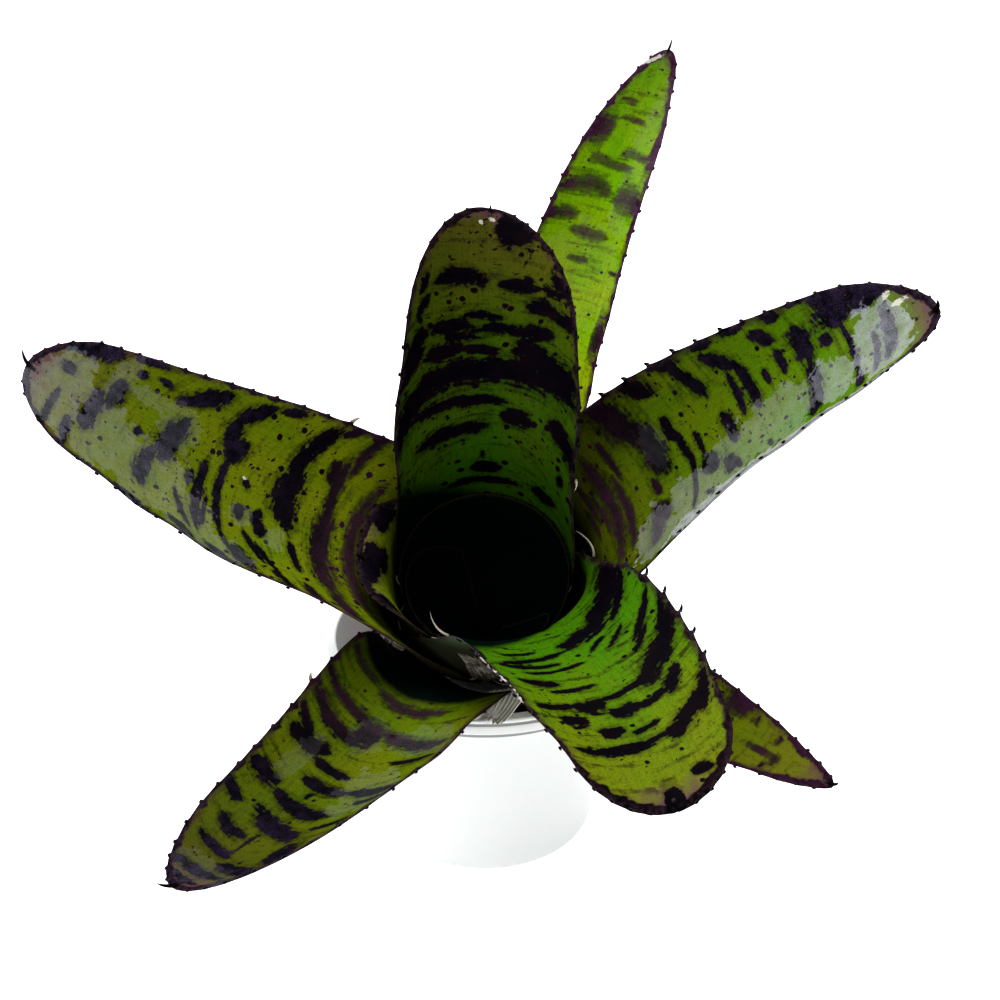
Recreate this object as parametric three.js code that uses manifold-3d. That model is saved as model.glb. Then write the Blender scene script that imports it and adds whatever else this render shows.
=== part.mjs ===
// Neoregelia bromeliad in a round plastic pot: an open tank rosette of strap leaves with toothed
// margins, leaning forward in its pot. Millimetres, +Z up, origin under the middle of the pot's foot.
import * as THREE from "three";
import { mergeVertices } from "three/addons/utils/BufferGeometryUtils.js";
import Module from "manifold-3d";

const wasm = await Module();
wasm.setup();

const { clamp, degToRad, lerp } = THREE.MathUtils;

// ---- fit between pieces that touch ----
const CLEARANCE = 0.3;

// ---- pot ----
const POT_HEIGHT = 66.7;
const POT_RIM_RADIUS = 50;
const POT_FOOT_RADIUS = 34.2;
const POT_WALL = 1.6;
const POT_FLOOR = 2.4;
const POT_RIM_STEP = 1.8;
const POT_RIM_BAND = 5.2;
const POT_LIP_HEIGHT = 1.4;
const POT_GROOVE_WIDTH = 0.9;
const POT_GROOVE_DEPTH = 0.5;
const POT_FOOT_CHAMFER = 0.8;
const POT_SIDES = 40;
const DRAIN_HOLES = 6;
const DRAIN_RADIUS = 3.5;
const DRAIN_RING_RADIUS = 24;

// ---- potting mix ----
const MIX_LEVEL = 52;
const BARK_CHIPS = 24;
const BARK_CHIP_LENGTH = 7;
const BARK_CHIP_WIDTH = 4.5;
const BARK_CHIP_THICKNESS = 2.4;
const BARK_RING_INNER = 27;
const BARK_RING_OUTER = 38;
const BARK_SEED = 11;

// ---- plant axis: the rosette leans towards -Y ----
const LEAN = degToRad(28);
const PLANT_FOOT_HEIGHT = 53.7;

// ---- stem ----
const STEM_FOOT_RADIUS = 11;
const STEM_TOP_RADIUS = 4.5;
const STEM_TAPER_START = 5;
const STEM_TAPER_END = 26;
const STEM_TIP_HEIGHT = 27.5;
const STEM_DEPTH = 22;
const STEM_ROUNDING = 3;
const STEM_SIDES = 24;

// ---- tank: leaf sheaths nested round the axis, each on its own shell, counted from the outermost ----
const FIRST_LEAF_HEIGHT = 6.6;
const LEAF_HEIGHT_STEP = 1.6;
const INNER_RADIUS = 23.5;
const SHELL_PITCH = 1.5;
const SHEATH_BASE_ANGLE = degToRad(54);
const SHEATH_WALL_ANGLE = degToRad(4);
const SHEATH_BASE_WRAP = degToRad(120);
const SHEATH_LENGTH = 50;

// ---- leaf flesh and its facets ----
const LEAF_THICKNESS = 0.8;
const END_ROUNDING = 2.2;
const SHEATH_ROW_STEP = 6;
const BLADE_ROW_STEP = 13;
const END_ROWS = [1, 0.72, 0.48, 0.29, 0.15, 0.06, 0.01];
const MIDRIB_STEPS = 240;

// ---- spines on the margins and at the apex ----
const SPINE_SPACING_NEAR = 10;
const SPINE_SPACING_FAR = 5.5;
const SPINE_FIRST = 30;
const SPINE_ROOT_BACK = 1;
const SPINE_ROOT_AHEAD = 3;
const SPINE_THICKNESS = 0.7;
const SPINE_SINK = 1;
const SPINE_HOOK = degToRad(40);
const SPINE_LIFT = 0.15;
const SHEATH_SPINE_GAIN = 1.8;
const SPINE_SCATTER = 0.15;
const APEX_SPINE_LENGTH = 4.5;
const APEX_SPINE_RADIUS = 0.8;
const APEX_SPINE_SINK = 2.5;
const APEX_SPINE_CURL = degToRad(55);
const SPINE_SEED = 7;

// One entry per leaf, outermost first; lengths in millimetres, angles in degrees.
// azimuth: direction round the plant axis; wrap: how far the sheath reaches round it on each side;
// spread: lean off the axis after the bend; droop: what the blade adds on the way to its tip;
// swing: sideways turn of the tip; twist: roll of the blade about its midrib at the tip;
// channelNear, channelFar: radius of the blade's channel at the bend and beyond;
// taper: width before the rounded end over full width; endLength: length of the rounded end;
// columns: points across the leaf; spineLength: length of a margin spine on the blade.
const LEAVES = [
  { name: "dry_sheath_back", dry: true, azimuth: 175, wrap: 34, length: 29, width: 22, bendStart: 20,
    bendLength: 8, spread: 24, droop: 10, swing: 0, twist: 0, channelNear: 30, channelFar: 24,
    taper: 0.7, endLength: 8, columns: 9 },
  { name: "leaf_low_right", azimuth: 323.7, wrap: 28, length: 114.5, width: 32.5, bendStart: 21,
    bendLength: 37, spread: 74, droop: 4, swing: -1, twist: -8, channelNear: 34, channelFar: 42,
    taper: 0.61, endLength: 80, columns: 9, spineLength: 1.6 },
  { name: "leaf_top", azimuth: 76.2, wrap: 60, length: 184.5, width: 34, bendStart: 25,
    bendLength: 31, spread: 53.5, droop: 1, swing: -7.7, twist: 2, channelNear: 31.5, channelFar: 20,
    taper: 0.56, endLength: 51, columns: 11, spineLength: 1.6 },
  { name: "leaf_front_left", azimuth: 244, wrap: 38, length: 128.6, width: 48, bendStart: 35.5,
    bendLength: 18.5, spread: 78.5, droop: 9, swing: -12, twist: 34.7, channelNear: 40, channelFar: 40.5,
    taper: 0.77, endLength: 29, columns: 11, spineLength: 1.8 },
  { name: "dry_sheath_front", dry: true, azimuth: 284, wrap: 22, length: 46, width: 16, bendStart: 36,
    bendLength: 8, spread: 30, droop: 10, swing: 0, twist: 0, channelNear: 30, channelFar: 24,
    taper: 0.5, endLength: 10, columns: 9 },
  { name: "leaf_right", azimuth: 17.5, wrap: 95, length: 163.2, width: 64.4, bendStart: 35,
    bendLength: 37.3, spread: 53, droop: -15, swing: -7.8, twist: -20.2, channelNear: 43, channelFar: 32,
    taper: 0.58, endLength: 24.5, columns: 13, spineLength: 2.4 },
  { name: "leaf_left", azimuth: 170.8, wrap: 95, length: 152.6, width: 66.3, bendStart: 35.8,
    bendLength: 23.6, spread: 69.5, droop: -15.3, swing: -4.6, twist: 16.2, channelNear: 46, channelFar: 55,
    taper: 0.53, endLength: 18, columns: 13, spineLength: 1.6 },
  { name: "leaf_front_right", azimuth: 299.7, wrap: 95, length: 138.3, width: 54, bendStart: 41.6,
    bendLength: 31.3, spread: 48, droop: 31.5, swing: -5.8, twist: -11, channelNear: 35, channelFar: 43.5,
    taper: 0.63, endLength: 15, columns: 13, spineLength: 2.6 },
  { name: "leaf_short", azimuth: 183, wrap: 80, length: 54, width: 50, bendStart: 40,
    bendLength: 14, spread: 60, droop: 20, swing: 0, twist: 0, channelNear: 28, channelFar: 28,
    taper: 0.9, endLength: 15, columns: 13, spineLength: 1.8 },
  { name: "leaf_back", azimuth: 89.3, wrap: 90, length: 128.8, width: 58.7, bendStart: 47,
    bendLength: 31, spread: 37, droop: 33, swing: -0.4, twist: 14.7, channelNear: 30.5, channelFar: 29,
    taper: 0.75, endLength: 44, columns: 13, spineLength: 1.4 },
  { name: "young_leaf_outer", azimuth: 92, wrap: 120, length: 39.5, width: 60, bendStart: 30,
    bendLength: 10, spread: 5, droop: 3, swing: 0, twist: 0, channelNear: 25, channelFar: 25,
    taper: 0.9, endLength: 18, columns: 15, spineLength: 1.5 },
  { name: "young_leaf_inner", azimuth: 230, wrap: 120, length: 30, width: 56, bendStart: 22,
    bendLength: 8, spread: 5, droop: 3, swing: 0, twist: 0, channelNear: 23, channelFar: 23,
    taper: 0.9, endLength: 16, columns: 15, spineLength: 1.4 },
];

// ---- finishes ----
const LEAF_MATERIAL = new THREE.MeshStandardMaterial({ color: "#7ea01c", roughness: 0.35, metalness: 0 });
const YOUNG_LEAF_MATERIAL = new THREE.MeshStandardMaterial({ color: "#123c12", roughness: 0.35, metalness: 0 });
const DRY_MATERIAL = new THREE.MeshStandardMaterial({ color: "#8f8474", roughness: 0.85, metalness: 0 });
const STEM_MATERIAL = new THREE.MeshStandardMaterial({ color: "#5b4632", roughness: 0.9, metalness: 0 });
const MIX_MATERIAL = new THREE.MeshStandardMaterial({ color: "#2c211b", roughness: 0.95, metalness: 0 });
const POT_MATERIAL = new THREE.MeshStandardMaterial({ color: "#f2f3f4", roughness: 0.4, metalness: 0 });

function smooth(t) {
  const x = clamp(t, 0, 1);
  return x * x * (3 - 2 * x);
}

function seeded(seed) {
  let state = seed;
  return () => {
    state = (state * 16807) % 2147483647;
    return state / 2147483647;
  };
}

// ---- solids in and out of the boolean library ----
function toSolid(geometry) {
  const bare = geometry.clone();
  bare.deleteAttribute("normal");
  bare.deleteAttribute("uv");
  const merged = mergeVertices(bare, 1e-4);
  const solid = (triangles) => new wasm.Manifold(new wasm.Mesh({
    numProp: 3,
    vertProperties: new Float32Array(merged.attributes.position.array),
    triVerts: new Uint32Array(triangles),
  }));
  const asListed = solid(merged.index.array);
  return asListed.volume() > 0 ? asListed : solid(merged.index.array.slice().reverse());
}

function toGeometry(solid) {
  const mesh = solid.getMesh();
  const geometry = new THREE.BufferGeometry();
  geometry.setAttribute("position", new THREE.BufferAttribute(new Float32Array(mesh.vertProperties), 3));
  geometry.setIndex(new THREE.BufferAttribute(new Uint32Array(mesh.triVerts), 1));
  geometry.computeVertexNormals();
  return geometry;
}

function solidFrom(points, faces) {
  const geometry = new THREE.BufferGeometry().setFromPoints(points);
  geometry.setIndex(faces.flat());
  return toSolid(geometry);
}

// A profile of [radius, height] pairs turned round the Z axis.
function turned(profile, sides) {
  const points = profile.map(([radius, height]) => new THREE.Vector2(radius, height));
  return toSolid(new THREE.LatheGeometry(points, sides).rotateX(Math.PI / 2));
}

// ---- stem radius at a height along the plant axis ----
function stemRadius(height) {
  const t = (height - STEM_TAPER_START) / (STEM_TAPER_END - STEM_TAPER_START);
  return lerp(STEM_FOOT_RADIUS, STEM_TOP_RADIUS, clamp(t, 0, 1));
}

// The midrib of a leaf in the plane through the plant axis: at arc length s it has a radius from the
// axis, a height along it and an inclination off it. The base flares out from the stem until it
// reaches the radius of its own shell, the wall rises nearly straight, and past bendStart the blade
// leans out. The sheath is the midrib's curve turned round the axis; the blade is an arc of the
// channel's radius across the midrib; past bendStart one blends into the other.
class Leaf {
  constructor(entry, rank) {
    Object.assign(this, entry);
    this.shellRadius = INNER_RADIUS + SHELL_PITCH * (LEAVES.length - 1 - rank);
    this.startHeight = FIRST_LEAF_HEIGHT + LEAF_HEIGHT_STEP * rank;
    this.startRadius = stemRadius(this.startHeight) + CLEARANCE + LEAF_THICKNESS / 2;
    let meanSine = 0;
    for (let i = 0; i < MIDRIB_STEPS; i += 1) {
      meanSine += Math.sin(this.baseAngle((i + 0.5) / MIDRIB_STEPS)) / MIDRIB_STEPS;
    }
    this.flareLength = (this.shellRadius - this.startRadius) / meanSine;
    this.midrib = this.traceMidrib();
    this.rows = this.chooseRows();
  }

  baseAngle(t) {
    return lerp(SHEATH_BASE_ANGLE, SHEATH_WALL_ANGLE, smooth(t));
  }

  inclination(s) {
    const lean = degToRad(this.spread) - SHEATH_WALL_ANGLE;
    const droopStart = this.bendStart + this.bendLength / 2;
    const drooping = clamp((s - droopStart) / (this.length - droopStart), 0, 1);
    return this.baseAngle(s / this.flareLength) + lean * smooth((s - this.bendStart) / this.bendLength)
      + degToRad(this.droop) * drooping;
  }

  traceMidrib() {
    const step = this.length / MIDRIB_STEPS;
    const stations = [{ radius: this.startRadius, height: this.startHeight }];
    for (let i = 0; i < MIDRIB_STEPS; i += 1) {
      const angle = this.inclination((i + 0.5) * step);
      const { radius, height } = stations[i];
      stations.push({ radius: radius + Math.sin(angle) * step, height: height + Math.cos(angle) * step });
    }
    return stations;
  }

  midribAt(s) {
    const x = clamp(s / this.length, 0, 1) * MIDRIB_STEPS;
    const i = Math.min(MIDRIB_STEPS - 1, Math.floor(x));
    const [a, b] = [this.midrib[i], this.midrib[i + 1]];
    return { radius: lerp(a.radius, b.radius, x - i), height: lerp(a.height, b.height, x - i) };
  }

  // Half of the flat width: the sheath clasps the stem, narrows to the blade's width, and the blade
  // tapers a little and ends rounded.
  halfWidth(s) {
    const clasp = lerp(SHEATH_BASE_WRAP, degToRad(this.wrap), smooth(s / (0.5 * SHEATH_LENGTH)));
    const sheath = clasp * Math.min(this.midribAt(s).radius, this.shellRadius + SHELL_PITCH);
    const tapering = clamp((s / this.length - 0.5) / 0.5, 0, 1) ** 1.5;
    const blade = this.width / 2 * lerp(1, this.taper, tapering);
    const bladeShare = smooth((s - 0.45 * SHEATH_LENGTH) / (0.75 * SHEATH_LENGTH));
    const toEnd = clamp((this.length - s) / this.endLength, 0, 1);
    return lerp(sheath, blade, bladeShare) * Math.sqrt(1 - (1 - toEnd) ** END_ROUNDING);
  }

  // Point at arc length s along the midrib, u across it and offset off the middle surface, outward
  // positive.
  point(s, u, offset) {
    const { radius, height } = this.midribAt(s);
    const angle = this.inclination(s);
    const outward = clamp((s - this.bendStart) / (this.length - this.bendStart), 0, 1);
    const azimuth = degToRad(this.azimuth + this.swing * outward ** 1.5);
    const turn = azimuth + u / radius;
    const shellRadius = radius + offset * Math.cos(angle);
    const shell = new THREE.Vector3(
      shellRadius * Math.cos(turn), shellRadius * Math.sin(turn), height - offset * Math.sin(angle));
    const across = new THREE.Vector3(-Math.sin(azimuth), Math.cos(azimuth), 0);
    const inward = new THREE.Vector3(
      -Math.cos(angle) * Math.cos(azimuth), -Math.cos(angle) * Math.sin(azimuth), Math.sin(angle));
    const twist = degToRad(this.twist) * outward;
    const side = across.clone().multiplyScalar(Math.cos(twist)).addScaledVector(inward, Math.sin(twist));
    const up = inward.clone().multiplyScalar(Math.cos(twist)).addScaledVector(across, -Math.sin(twist));
    const opening = (s - this.bendStart - 0.5 * this.bendLength) / (0.45 * (this.length - this.bendStart));
    const channel = lerp(this.channelNear, this.channelFar, smooth(opening));
    const bow = u / channel;
    const blade = new THREE.Vector3(radius * Math.cos(azimuth), radius * Math.sin(azimuth), height)
      .addScaledVector(side, (channel + offset) * Math.sin(bow))
      .addScaledVector(up, channel - (channel + offset) * Math.cos(bow));
    return shell.lerp(blade, smooth((s - this.bendStart) / (1.2 * this.bendLength)));
  }

  // Arc lengths of the rows of points: close together in the sheath and in the rounded end.
  chooseRows() {
    const endStart = this.length - this.endLength;
    const sheathEnd = Math.min(this.bendStart + this.bendLength, endStart);
    const sheathRows = Math.max(2, Math.round(sheathEnd / SHEATH_ROW_STEP));
    const bladeRows = Math.max(1, Math.round((endStart - sheathEnd) / BLADE_ROW_STEP));
    const rows = [];
    for (let i = 0; i < sheathRows; i += 1) rows.push(sheathEnd * i / sheathRows);
    for (let i = 0; i < bladeRows; i += 1) rows.push(lerp(sheathEnd, endStart, i / bladeRows));
    for (const share of END_ROWS) rows.push(this.length - this.endLength * share);
    return rows;
  }

  gridPoint(row, column, offset) {
    const s = this.rows[row];
    return this.point(s, this.halfWidth(s) * (2 * column / (this.columns - 1) - 1), offset);
  }

  // Inner and outer faces on the same grid, split into triangles alike, with walls all round.
  flesh() {
    const points = [];
    for (const offset of [-LEAF_THICKNESS / 2, LEAF_THICKNESS / 2]) {
      for (let row = 0; row < this.rows.length; row += 1) {
        for (let column = 0; column < this.columns; column += 1) points.push(this.gridPoint(row, column, offset));
      }
    }
    const faces = [];
    const quad = (a, b, c, d) => faces.push([a, b, c], [a, c, d]);
    const at = (row, column) => row * this.columns + column;
    const outer = this.rows.length * this.columns;
    const lastRow = this.rows.length - 1;
    const lastColumn = this.columns - 1;
    for (let row = 0; row < lastRow; row += 1) {
      for (let column = 0; column < lastColumn; column += 1) {
        const [a, b, c, d] = [at(row, column), at(row + 1, column), at(row + 1, column + 1), at(row, column + 1)];
        quad(a, b, c, d);
        faces.push([outer + a, outer + c, outer + b], [outer + a, outer + d, outer + c]);
      }
      const [a, b, c, d] = [at(row, 0), at(row + 1, 0), at(row, lastColumn), at(row + 1, lastColumn)];
      quad(a, outer + a, outer + b, b);
      quad(c, d, outer + d, outer + c);
    }
    for (let column = 0; column < lastColumn; column += 1) {
      const [a, b, c, d] = [at(0, column), at(0, column + 1), at(lastRow, column), at(lastRow, column + 1)];
      quad(a, b, outer + b, outer + a);
      quad(c, outer + c, outer + d, d);
    }
    return solidFrom(points, faces);
  }

  // A three-sided thorn on the facetted margin at arc length s: its root is sunk in the margin, longer
  // towards the leaf's tip, and its point hooks back towards the base. edge is the margin's column and
  // next the column beside it.
  spine(s, edge, next, length) {
    const row = this.rows.findIndex((value) => value > s) - 1;
    const share = (s - this.rows[row]) / (this.rows[row + 1] - this.rows[row]);
    const onFacet = (column) => this.gridPoint(row, column, 0).lerp(this.gridPoint(row + 1, column, 0), share);
    const margin = onFacet(edge);
    const out = margin.clone().sub(onFacet(next)).normalize();
    const along = this.gridPoint(row + 1, edge, 0).sub(this.gridPoint(row, edge, 0));
    const ahead = along.addScaledVector(out, -along.dot(out)).normalize();
    const upper = this.gridPoint(row, edge, -1).sub(this.gridPoint(row, edge, 0)).normalize();
    const place = (outwards, forwards, upwards) => margin.clone().addScaledVector(out, outwards)
      .addScaledVector(ahead, forwards).addScaledVector(upper, upwards);
    const corners = [
      place(-SPINE_SINK, -SPINE_ROOT_BACK, -SPINE_THICKNESS / 2),
      place(-SPINE_SINK, SPINE_ROOT_AHEAD, -SPINE_THICKNESS / 2),
      place(-SPINE_SINK, 0, SPINE_THICKNESS / 2),
      place(length * Math.cos(SPINE_HOOK), -length * Math.sin(SPINE_HOOK), length * SPINE_LIFT),
    ];
    return solidFrom(corners, [[0, 1, 2], [0, 3, 1], [1, 3, 2], [2, 3, 0]]);
  }

  // Spines stand closer together towards the tip and are longest on the sheath, with a small seeded
  // scatter.
  marginSpines(random) {
    const spines = [];
    const scatter = () => 1 + SPINE_SCATTER * (2 * random() - 1);
    const lastColumn = this.columns - 1;
    for (const [edge, next] of [[0, 1], [lastColumn, lastColumn - 1]]) {
      let s = Math.min(SPINE_FIRST, 0.6 * this.length) + SPINE_SPACING_NEAR * random();
      while (s < this.length - 0.15 * this.endLength) {
        const gain = lerp(SHEATH_SPINE_GAIN, 1, clamp((s - SPINE_FIRST) / SHEATH_LENGTH, 0, 1));
        spines.push(this.spine(s, edge, next, this.spineLength * gain * scatter()));
        s += lerp(SPINE_SPACING_NEAR, SPINE_SPACING_FAR, s / this.length) * scatter();
      }
    }
    return spines;
  }

  // The apex spine: a slim three-sided horn on the end of the midrib that curls up and back.
  apexSpine() {
    const root = this.point(this.length - APEX_SPINE_SINK, 0, 0);
    const ahead = this.point(this.length, 0, 0).sub(root).normalize();
    const upper = this.point(this.length - APEX_SPINE_SINK, 0, -1).sub(root);
    const up = upper.addScaledVector(ahead, -upper.dot(ahead)).normalize();
    const side = new THREE.Vector3().crossVectors(ahead, up);
    const bends = 3;
    const rings = [root];
    const headings = [ahead];
    for (let i = 1; i <= bends; i += 1) {
      const curl = APEX_SPINE_CURL * (i - 1) / (bends - 1);
      const heading = ahead.clone().multiplyScalar(Math.cos(curl)).addScaledVector(up, Math.sin(curl));
      const step = i === 1 ? APEX_SPINE_SINK + APEX_SPINE_LENGTH / bends : APEX_SPINE_LENGTH / bends;
      rings.push(rings[i - 1].clone().addScaledVector(heading, step));
      headings.push(heading);
    }
    const points = [];
    for (let i = 0; i < bends; i += 1) {
      const radius = APEX_SPINE_RADIUS * (1 - 0.6 * i / bends);
      const lift = new THREE.Vector3().crossVectors(side, headings[i]);
      for (const corner of [0, 1, 2]) {
        const turn = 2 * Math.PI * corner / 3 + Math.PI / 2;
        points.push(rings[i].clone().addScaledVector(side, radius * Math.cos(turn))
          .addScaledVector(lift, 0.6 * radius * Math.sin(turn)));
      }
    }
    points.push(rings[bends]);
    const faces = [[0, 2, 1]];
    for (const corner of [0, 1, 2]) {
      for (let i = 0; i + 1 < bends; i += 1) {
        const [a, b] = [3 * i + corner, 3 * i + (corner + 1) % 3];
        faces.push([a, b, b + 3], [a, b + 3, a + 3]);
      }
      faces.push([3 * (bends - 1) + corner, 3 * (bends - 1) + (corner + 1) % 3, 3 * bends]);
    }
    return solidFrom(points, faces);
  }

  solid(random) {
    if (this.dry) return this.flesh();
    return wasm.Manifold.union([this.flesh(), ...this.marginSpines(random), this.apexSpine()]);
  }
}

// ---- stem: the short woody stock that every leaf grows from, its foot buried in the mix ----
function stemProfile(margin) {
  return [
    [0, -STEM_DEPTH - margin],
    [STEM_FOOT_RADIUS - STEM_ROUNDING + margin, -STEM_DEPTH - margin],
    [STEM_FOOT_RADIUS + margin, -STEM_DEPTH + STEM_ROUNDING],
    [STEM_FOOT_RADIUS + margin, STEM_TAPER_START],
    [STEM_TOP_RADIUS + margin, STEM_TAPER_END],
    [0.6 * STEM_TOP_RADIUS + margin, STEM_TIP_HEIGHT + margin],
    [0, STEM_TIP_HEIGHT + margin],
  ];
}

// ---- pot: one moulding with a tapered wall, a rim band under a grooved lip, and a drained floor ----
function potWallRadius(height) {
  return lerp(POT_FOOT_RADIUS, POT_RIM_RADIUS - POT_RIM_STEP, height / POT_HEIGHT);
}

function potSolid() {
  const bandFoot = POT_HEIGHT - POT_RIM_BAND;
  const grooveTop = POT_HEIGHT - POT_LIP_HEIGHT;
  const grooveFoot = grooveTop - POT_GROOVE_WIDTH;
  const grooveRadius = POT_RIM_RADIUS - POT_GROOVE_DEPTH;
  const body = turned([
    [0, 0],
    [POT_FOOT_RADIUS - POT_FOOT_CHAMFER, 0],
    [POT_FOOT_RADIUS, POT_FOOT_CHAMFER],
    [potWallRadius(bandFoot), bandFoot],
    [POT_RIM_RADIUS, bandFoot],
    [POT_RIM_RADIUS, grooveFoot],
    [grooveRadius, grooveFoot + POT_GROOVE_WIDTH / 3],
    [grooveRadius, grooveTop],
    [POT_RIM_RADIUS, grooveTop],
    [POT_RIM_RADIUS - POT_GROOVE_DEPTH, POT_HEIGHT],
    [potWallRadius(POT_HEIGHT) - POT_WALL, POT_HEIGHT],
    [potWallRadius(POT_FLOOR) - POT_WALL, POT_FLOOR],
    [0, POT_FLOOR],
  ], POT_SIDES);
  const holes = [];
  for (let i = 0; i < DRAIN_HOLES; i += 1) {
    const turn = 2 * Math.PI * (i + 0.5) / DRAIN_HOLES;
    const hole = new THREE.CylinderGeometry(DRAIN_RADIUS, DRAIN_RADIUS, 3 * POT_FLOOR, 16).rotateX(Math.PI / 2);
    hole.translate(DRAIN_RING_RADIUS * Math.cos(turn), DRAIN_RING_RADIUS * Math.sin(turn), 0);
    holes.push(toSolid(hole));
  }
  return body.subtract(wasm.Manifold.union(holes));
}

// ---- potting mix: fills the pot, with bark chips half sunk in its top and a plain hole for the stem ----
function mixSolid(stemHole) {
  const foot = POT_FLOOR + CLEARANCE;
  const inside = (height) => potWallRadius(height) - POT_WALL - CLEARANCE;
  const random = seeded(BARK_SEED);
  const pieces = [turned([[0, foot], [inside(foot), foot], [inside(MIX_LEVEL), MIX_LEVEL], [0, MIX_LEVEL]], POT_SIDES)];
  for (let i = 0; i < BARK_CHIPS; i += 1) {
    const turn = 2 * Math.PI * (i + 0.6 * random()) / BARK_CHIPS;
    const distance = lerp(BARK_RING_INNER, BARK_RING_OUTER, random());
    const size = 0.7 + 0.5 * random();
    const chip = new THREE.BoxGeometry(BARK_CHIP_LENGTH * size, BARK_CHIP_WIDTH * size, BARK_CHIP_THICKNESS * size);
    chip.rotateX(0.3 * (random() - 0.5)).rotateY(0.3 * (random() - 0.5)).rotateZ(Math.PI * random());
    chip.translate(distance * Math.cos(turn), distance * Math.sin(turn), MIX_LEVEL - 0.5);
    pieces.push(toSolid(chip));
  }
  return wasm.Manifold.union(pieces).subtract(stemHole);
}

// ---- the assembly ----
function named(name, solid, material) {
  const mesh = new THREE.Mesh(toGeometry(solid), material.clone());
  mesh.name = name;
  return mesh;
}

const rosette = new THREE.Group();
rosette.rotation.x = LEAN;
rosette.position.z = PLANT_FOOT_HEIGHT;
rosette.updateMatrix();
const stemHole = toGeometry(turned(stemProfile(CLEARANCE), STEM_SIDES)).applyMatrix4(rosette.matrix);
rosette.add(named("stem", turned(stemProfile(0), STEM_SIDES), STEM_MATERIAL));
LEAVES.forEach((entry, rank) => {
  const leaf = new Leaf(entry, rank);
  const young = entry.name.startsWith("young");
  const material = entry.dry ? DRY_MATERIAL : young ? YOUNG_LEAF_MATERIAL : LEAF_MATERIAL;
  rosette.add(named(entry.name, leaf.solid(seeded(SPINE_SEED + 101 * rank)), material));
});

const neoregelia = new THREE.Group();
neoregelia.add(named("pot", potSolid(), POT_MATERIAL));
neoregelia.add(named("potting_mix", mixSolid(toSolid(stemHole)), MIX_MATERIAL));
neoregelia.add(rosette);

export default neoregelia;
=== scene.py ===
from functools import partial
import bpy
import numpy as np
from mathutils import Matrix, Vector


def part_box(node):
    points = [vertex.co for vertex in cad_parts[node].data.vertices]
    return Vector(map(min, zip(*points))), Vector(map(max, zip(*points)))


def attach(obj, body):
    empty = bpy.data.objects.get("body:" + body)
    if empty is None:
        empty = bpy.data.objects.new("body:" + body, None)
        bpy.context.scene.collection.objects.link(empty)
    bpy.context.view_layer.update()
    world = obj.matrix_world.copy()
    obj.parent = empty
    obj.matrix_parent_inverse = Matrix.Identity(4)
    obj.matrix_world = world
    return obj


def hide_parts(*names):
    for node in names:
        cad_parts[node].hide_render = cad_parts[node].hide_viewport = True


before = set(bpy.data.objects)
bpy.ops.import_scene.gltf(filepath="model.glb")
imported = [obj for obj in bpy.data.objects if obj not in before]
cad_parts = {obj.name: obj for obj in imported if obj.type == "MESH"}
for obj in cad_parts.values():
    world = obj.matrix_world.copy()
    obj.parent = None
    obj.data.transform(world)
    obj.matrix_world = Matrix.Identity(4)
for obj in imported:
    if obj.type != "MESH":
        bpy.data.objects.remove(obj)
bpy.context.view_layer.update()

# ---- Pot ----
# A round nursery pot, injection moulded in white polypropylene: a tapered wall, a rim band under a
# grooved lip and a floor with six drain holes. It carries the potting mix and stands on its foot.
MM = 0.001
POT_RIM_RADIUS, _, POT_HEIGHT = np.array(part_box("pot")[1]) / MM
POT_FOOT_RADIUS = 34.2
POT_WALL = 1.6
POT_FLOOR = 2.4
POT_RIM_STEP = 1.8
POT_RIM_BAND = 5.2
POT_LIP_HEIGHT = 1.4
POT_GROOVE_WIDTH = 0.9
POT_GROOVE_DEPTH = 0.5
POT_EDGE_ROUNDING = 0.7
POT_SIDES = 144
DRAIN_HOLES = 6
DRAIN_RADIUS = 3.5
DRAIN_FLARE = 0.4
DRAIN_SIDES = 48
DRAIN_RING_RADIUS = 24
POLYPROPYLENE_WHITE = "#e9ebeb"
# dark grey of the darker patches on the inner wall
INNER_WALL_DARK = "#2c2a2c"
# grey of the painted shade lines in the groove and under the band
SHADE_LINE_GREY = "#5e6063"
WALL_BLEND = 0.2
BLOTCH_SIZE = 4
FADE_BELOW_RIM = 2
# x where the inner wall's darker patches start and where they are full
PLAIN_UNTIL, DARK_FROM = -38, -30
PEEL_SIZE = 0.9


def linear(hex_colour):
    """An sRGB hex colour as linear red, green, blue and alpha."""
    srgb = np.array([int(hex_colour[i:i + 2], 16) / 255 for i in (1, 3, 5)])
    low, high = srgb / 12.92, ((srgb + 0.055) / 1.055) ** 2.4
    return (*np.where(srgb <= 0.04045, low, high), 1.0)


def node(tree, kind, inputs=(), **settings):
    """Adds a shader node: settings are its properties, and inputs gives its sockets, in order or by name
    or number, a value, a socket to link from, or a node, whose first output in use is linked."""
    made = tree.nodes.new("ShaderNode" + kind)
    for name, value in settings.items():
        setattr(made, name, value)
    for name, value in inputs.items() if isinstance(inputs, dict) else enumerate(inputs):
        if isinstance(value, bpy.types.Node):
            value = next(socket for socket in value.outputs if socket.enabled)
        if isinstance(value, bpy.types.NodeSocket):
            tree.links.new(value, made.inputs[name])
        else:
            made.inputs[name].default_value = value
    return made


def new_material(name):
    """An empty node material, and node() for its tree."""
    material = bpy.data.materials.new(name)
    material.use_nodes = True
    material.node_tree.nodes.clear()
    return material, partial(node, material.node_tree)


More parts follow.
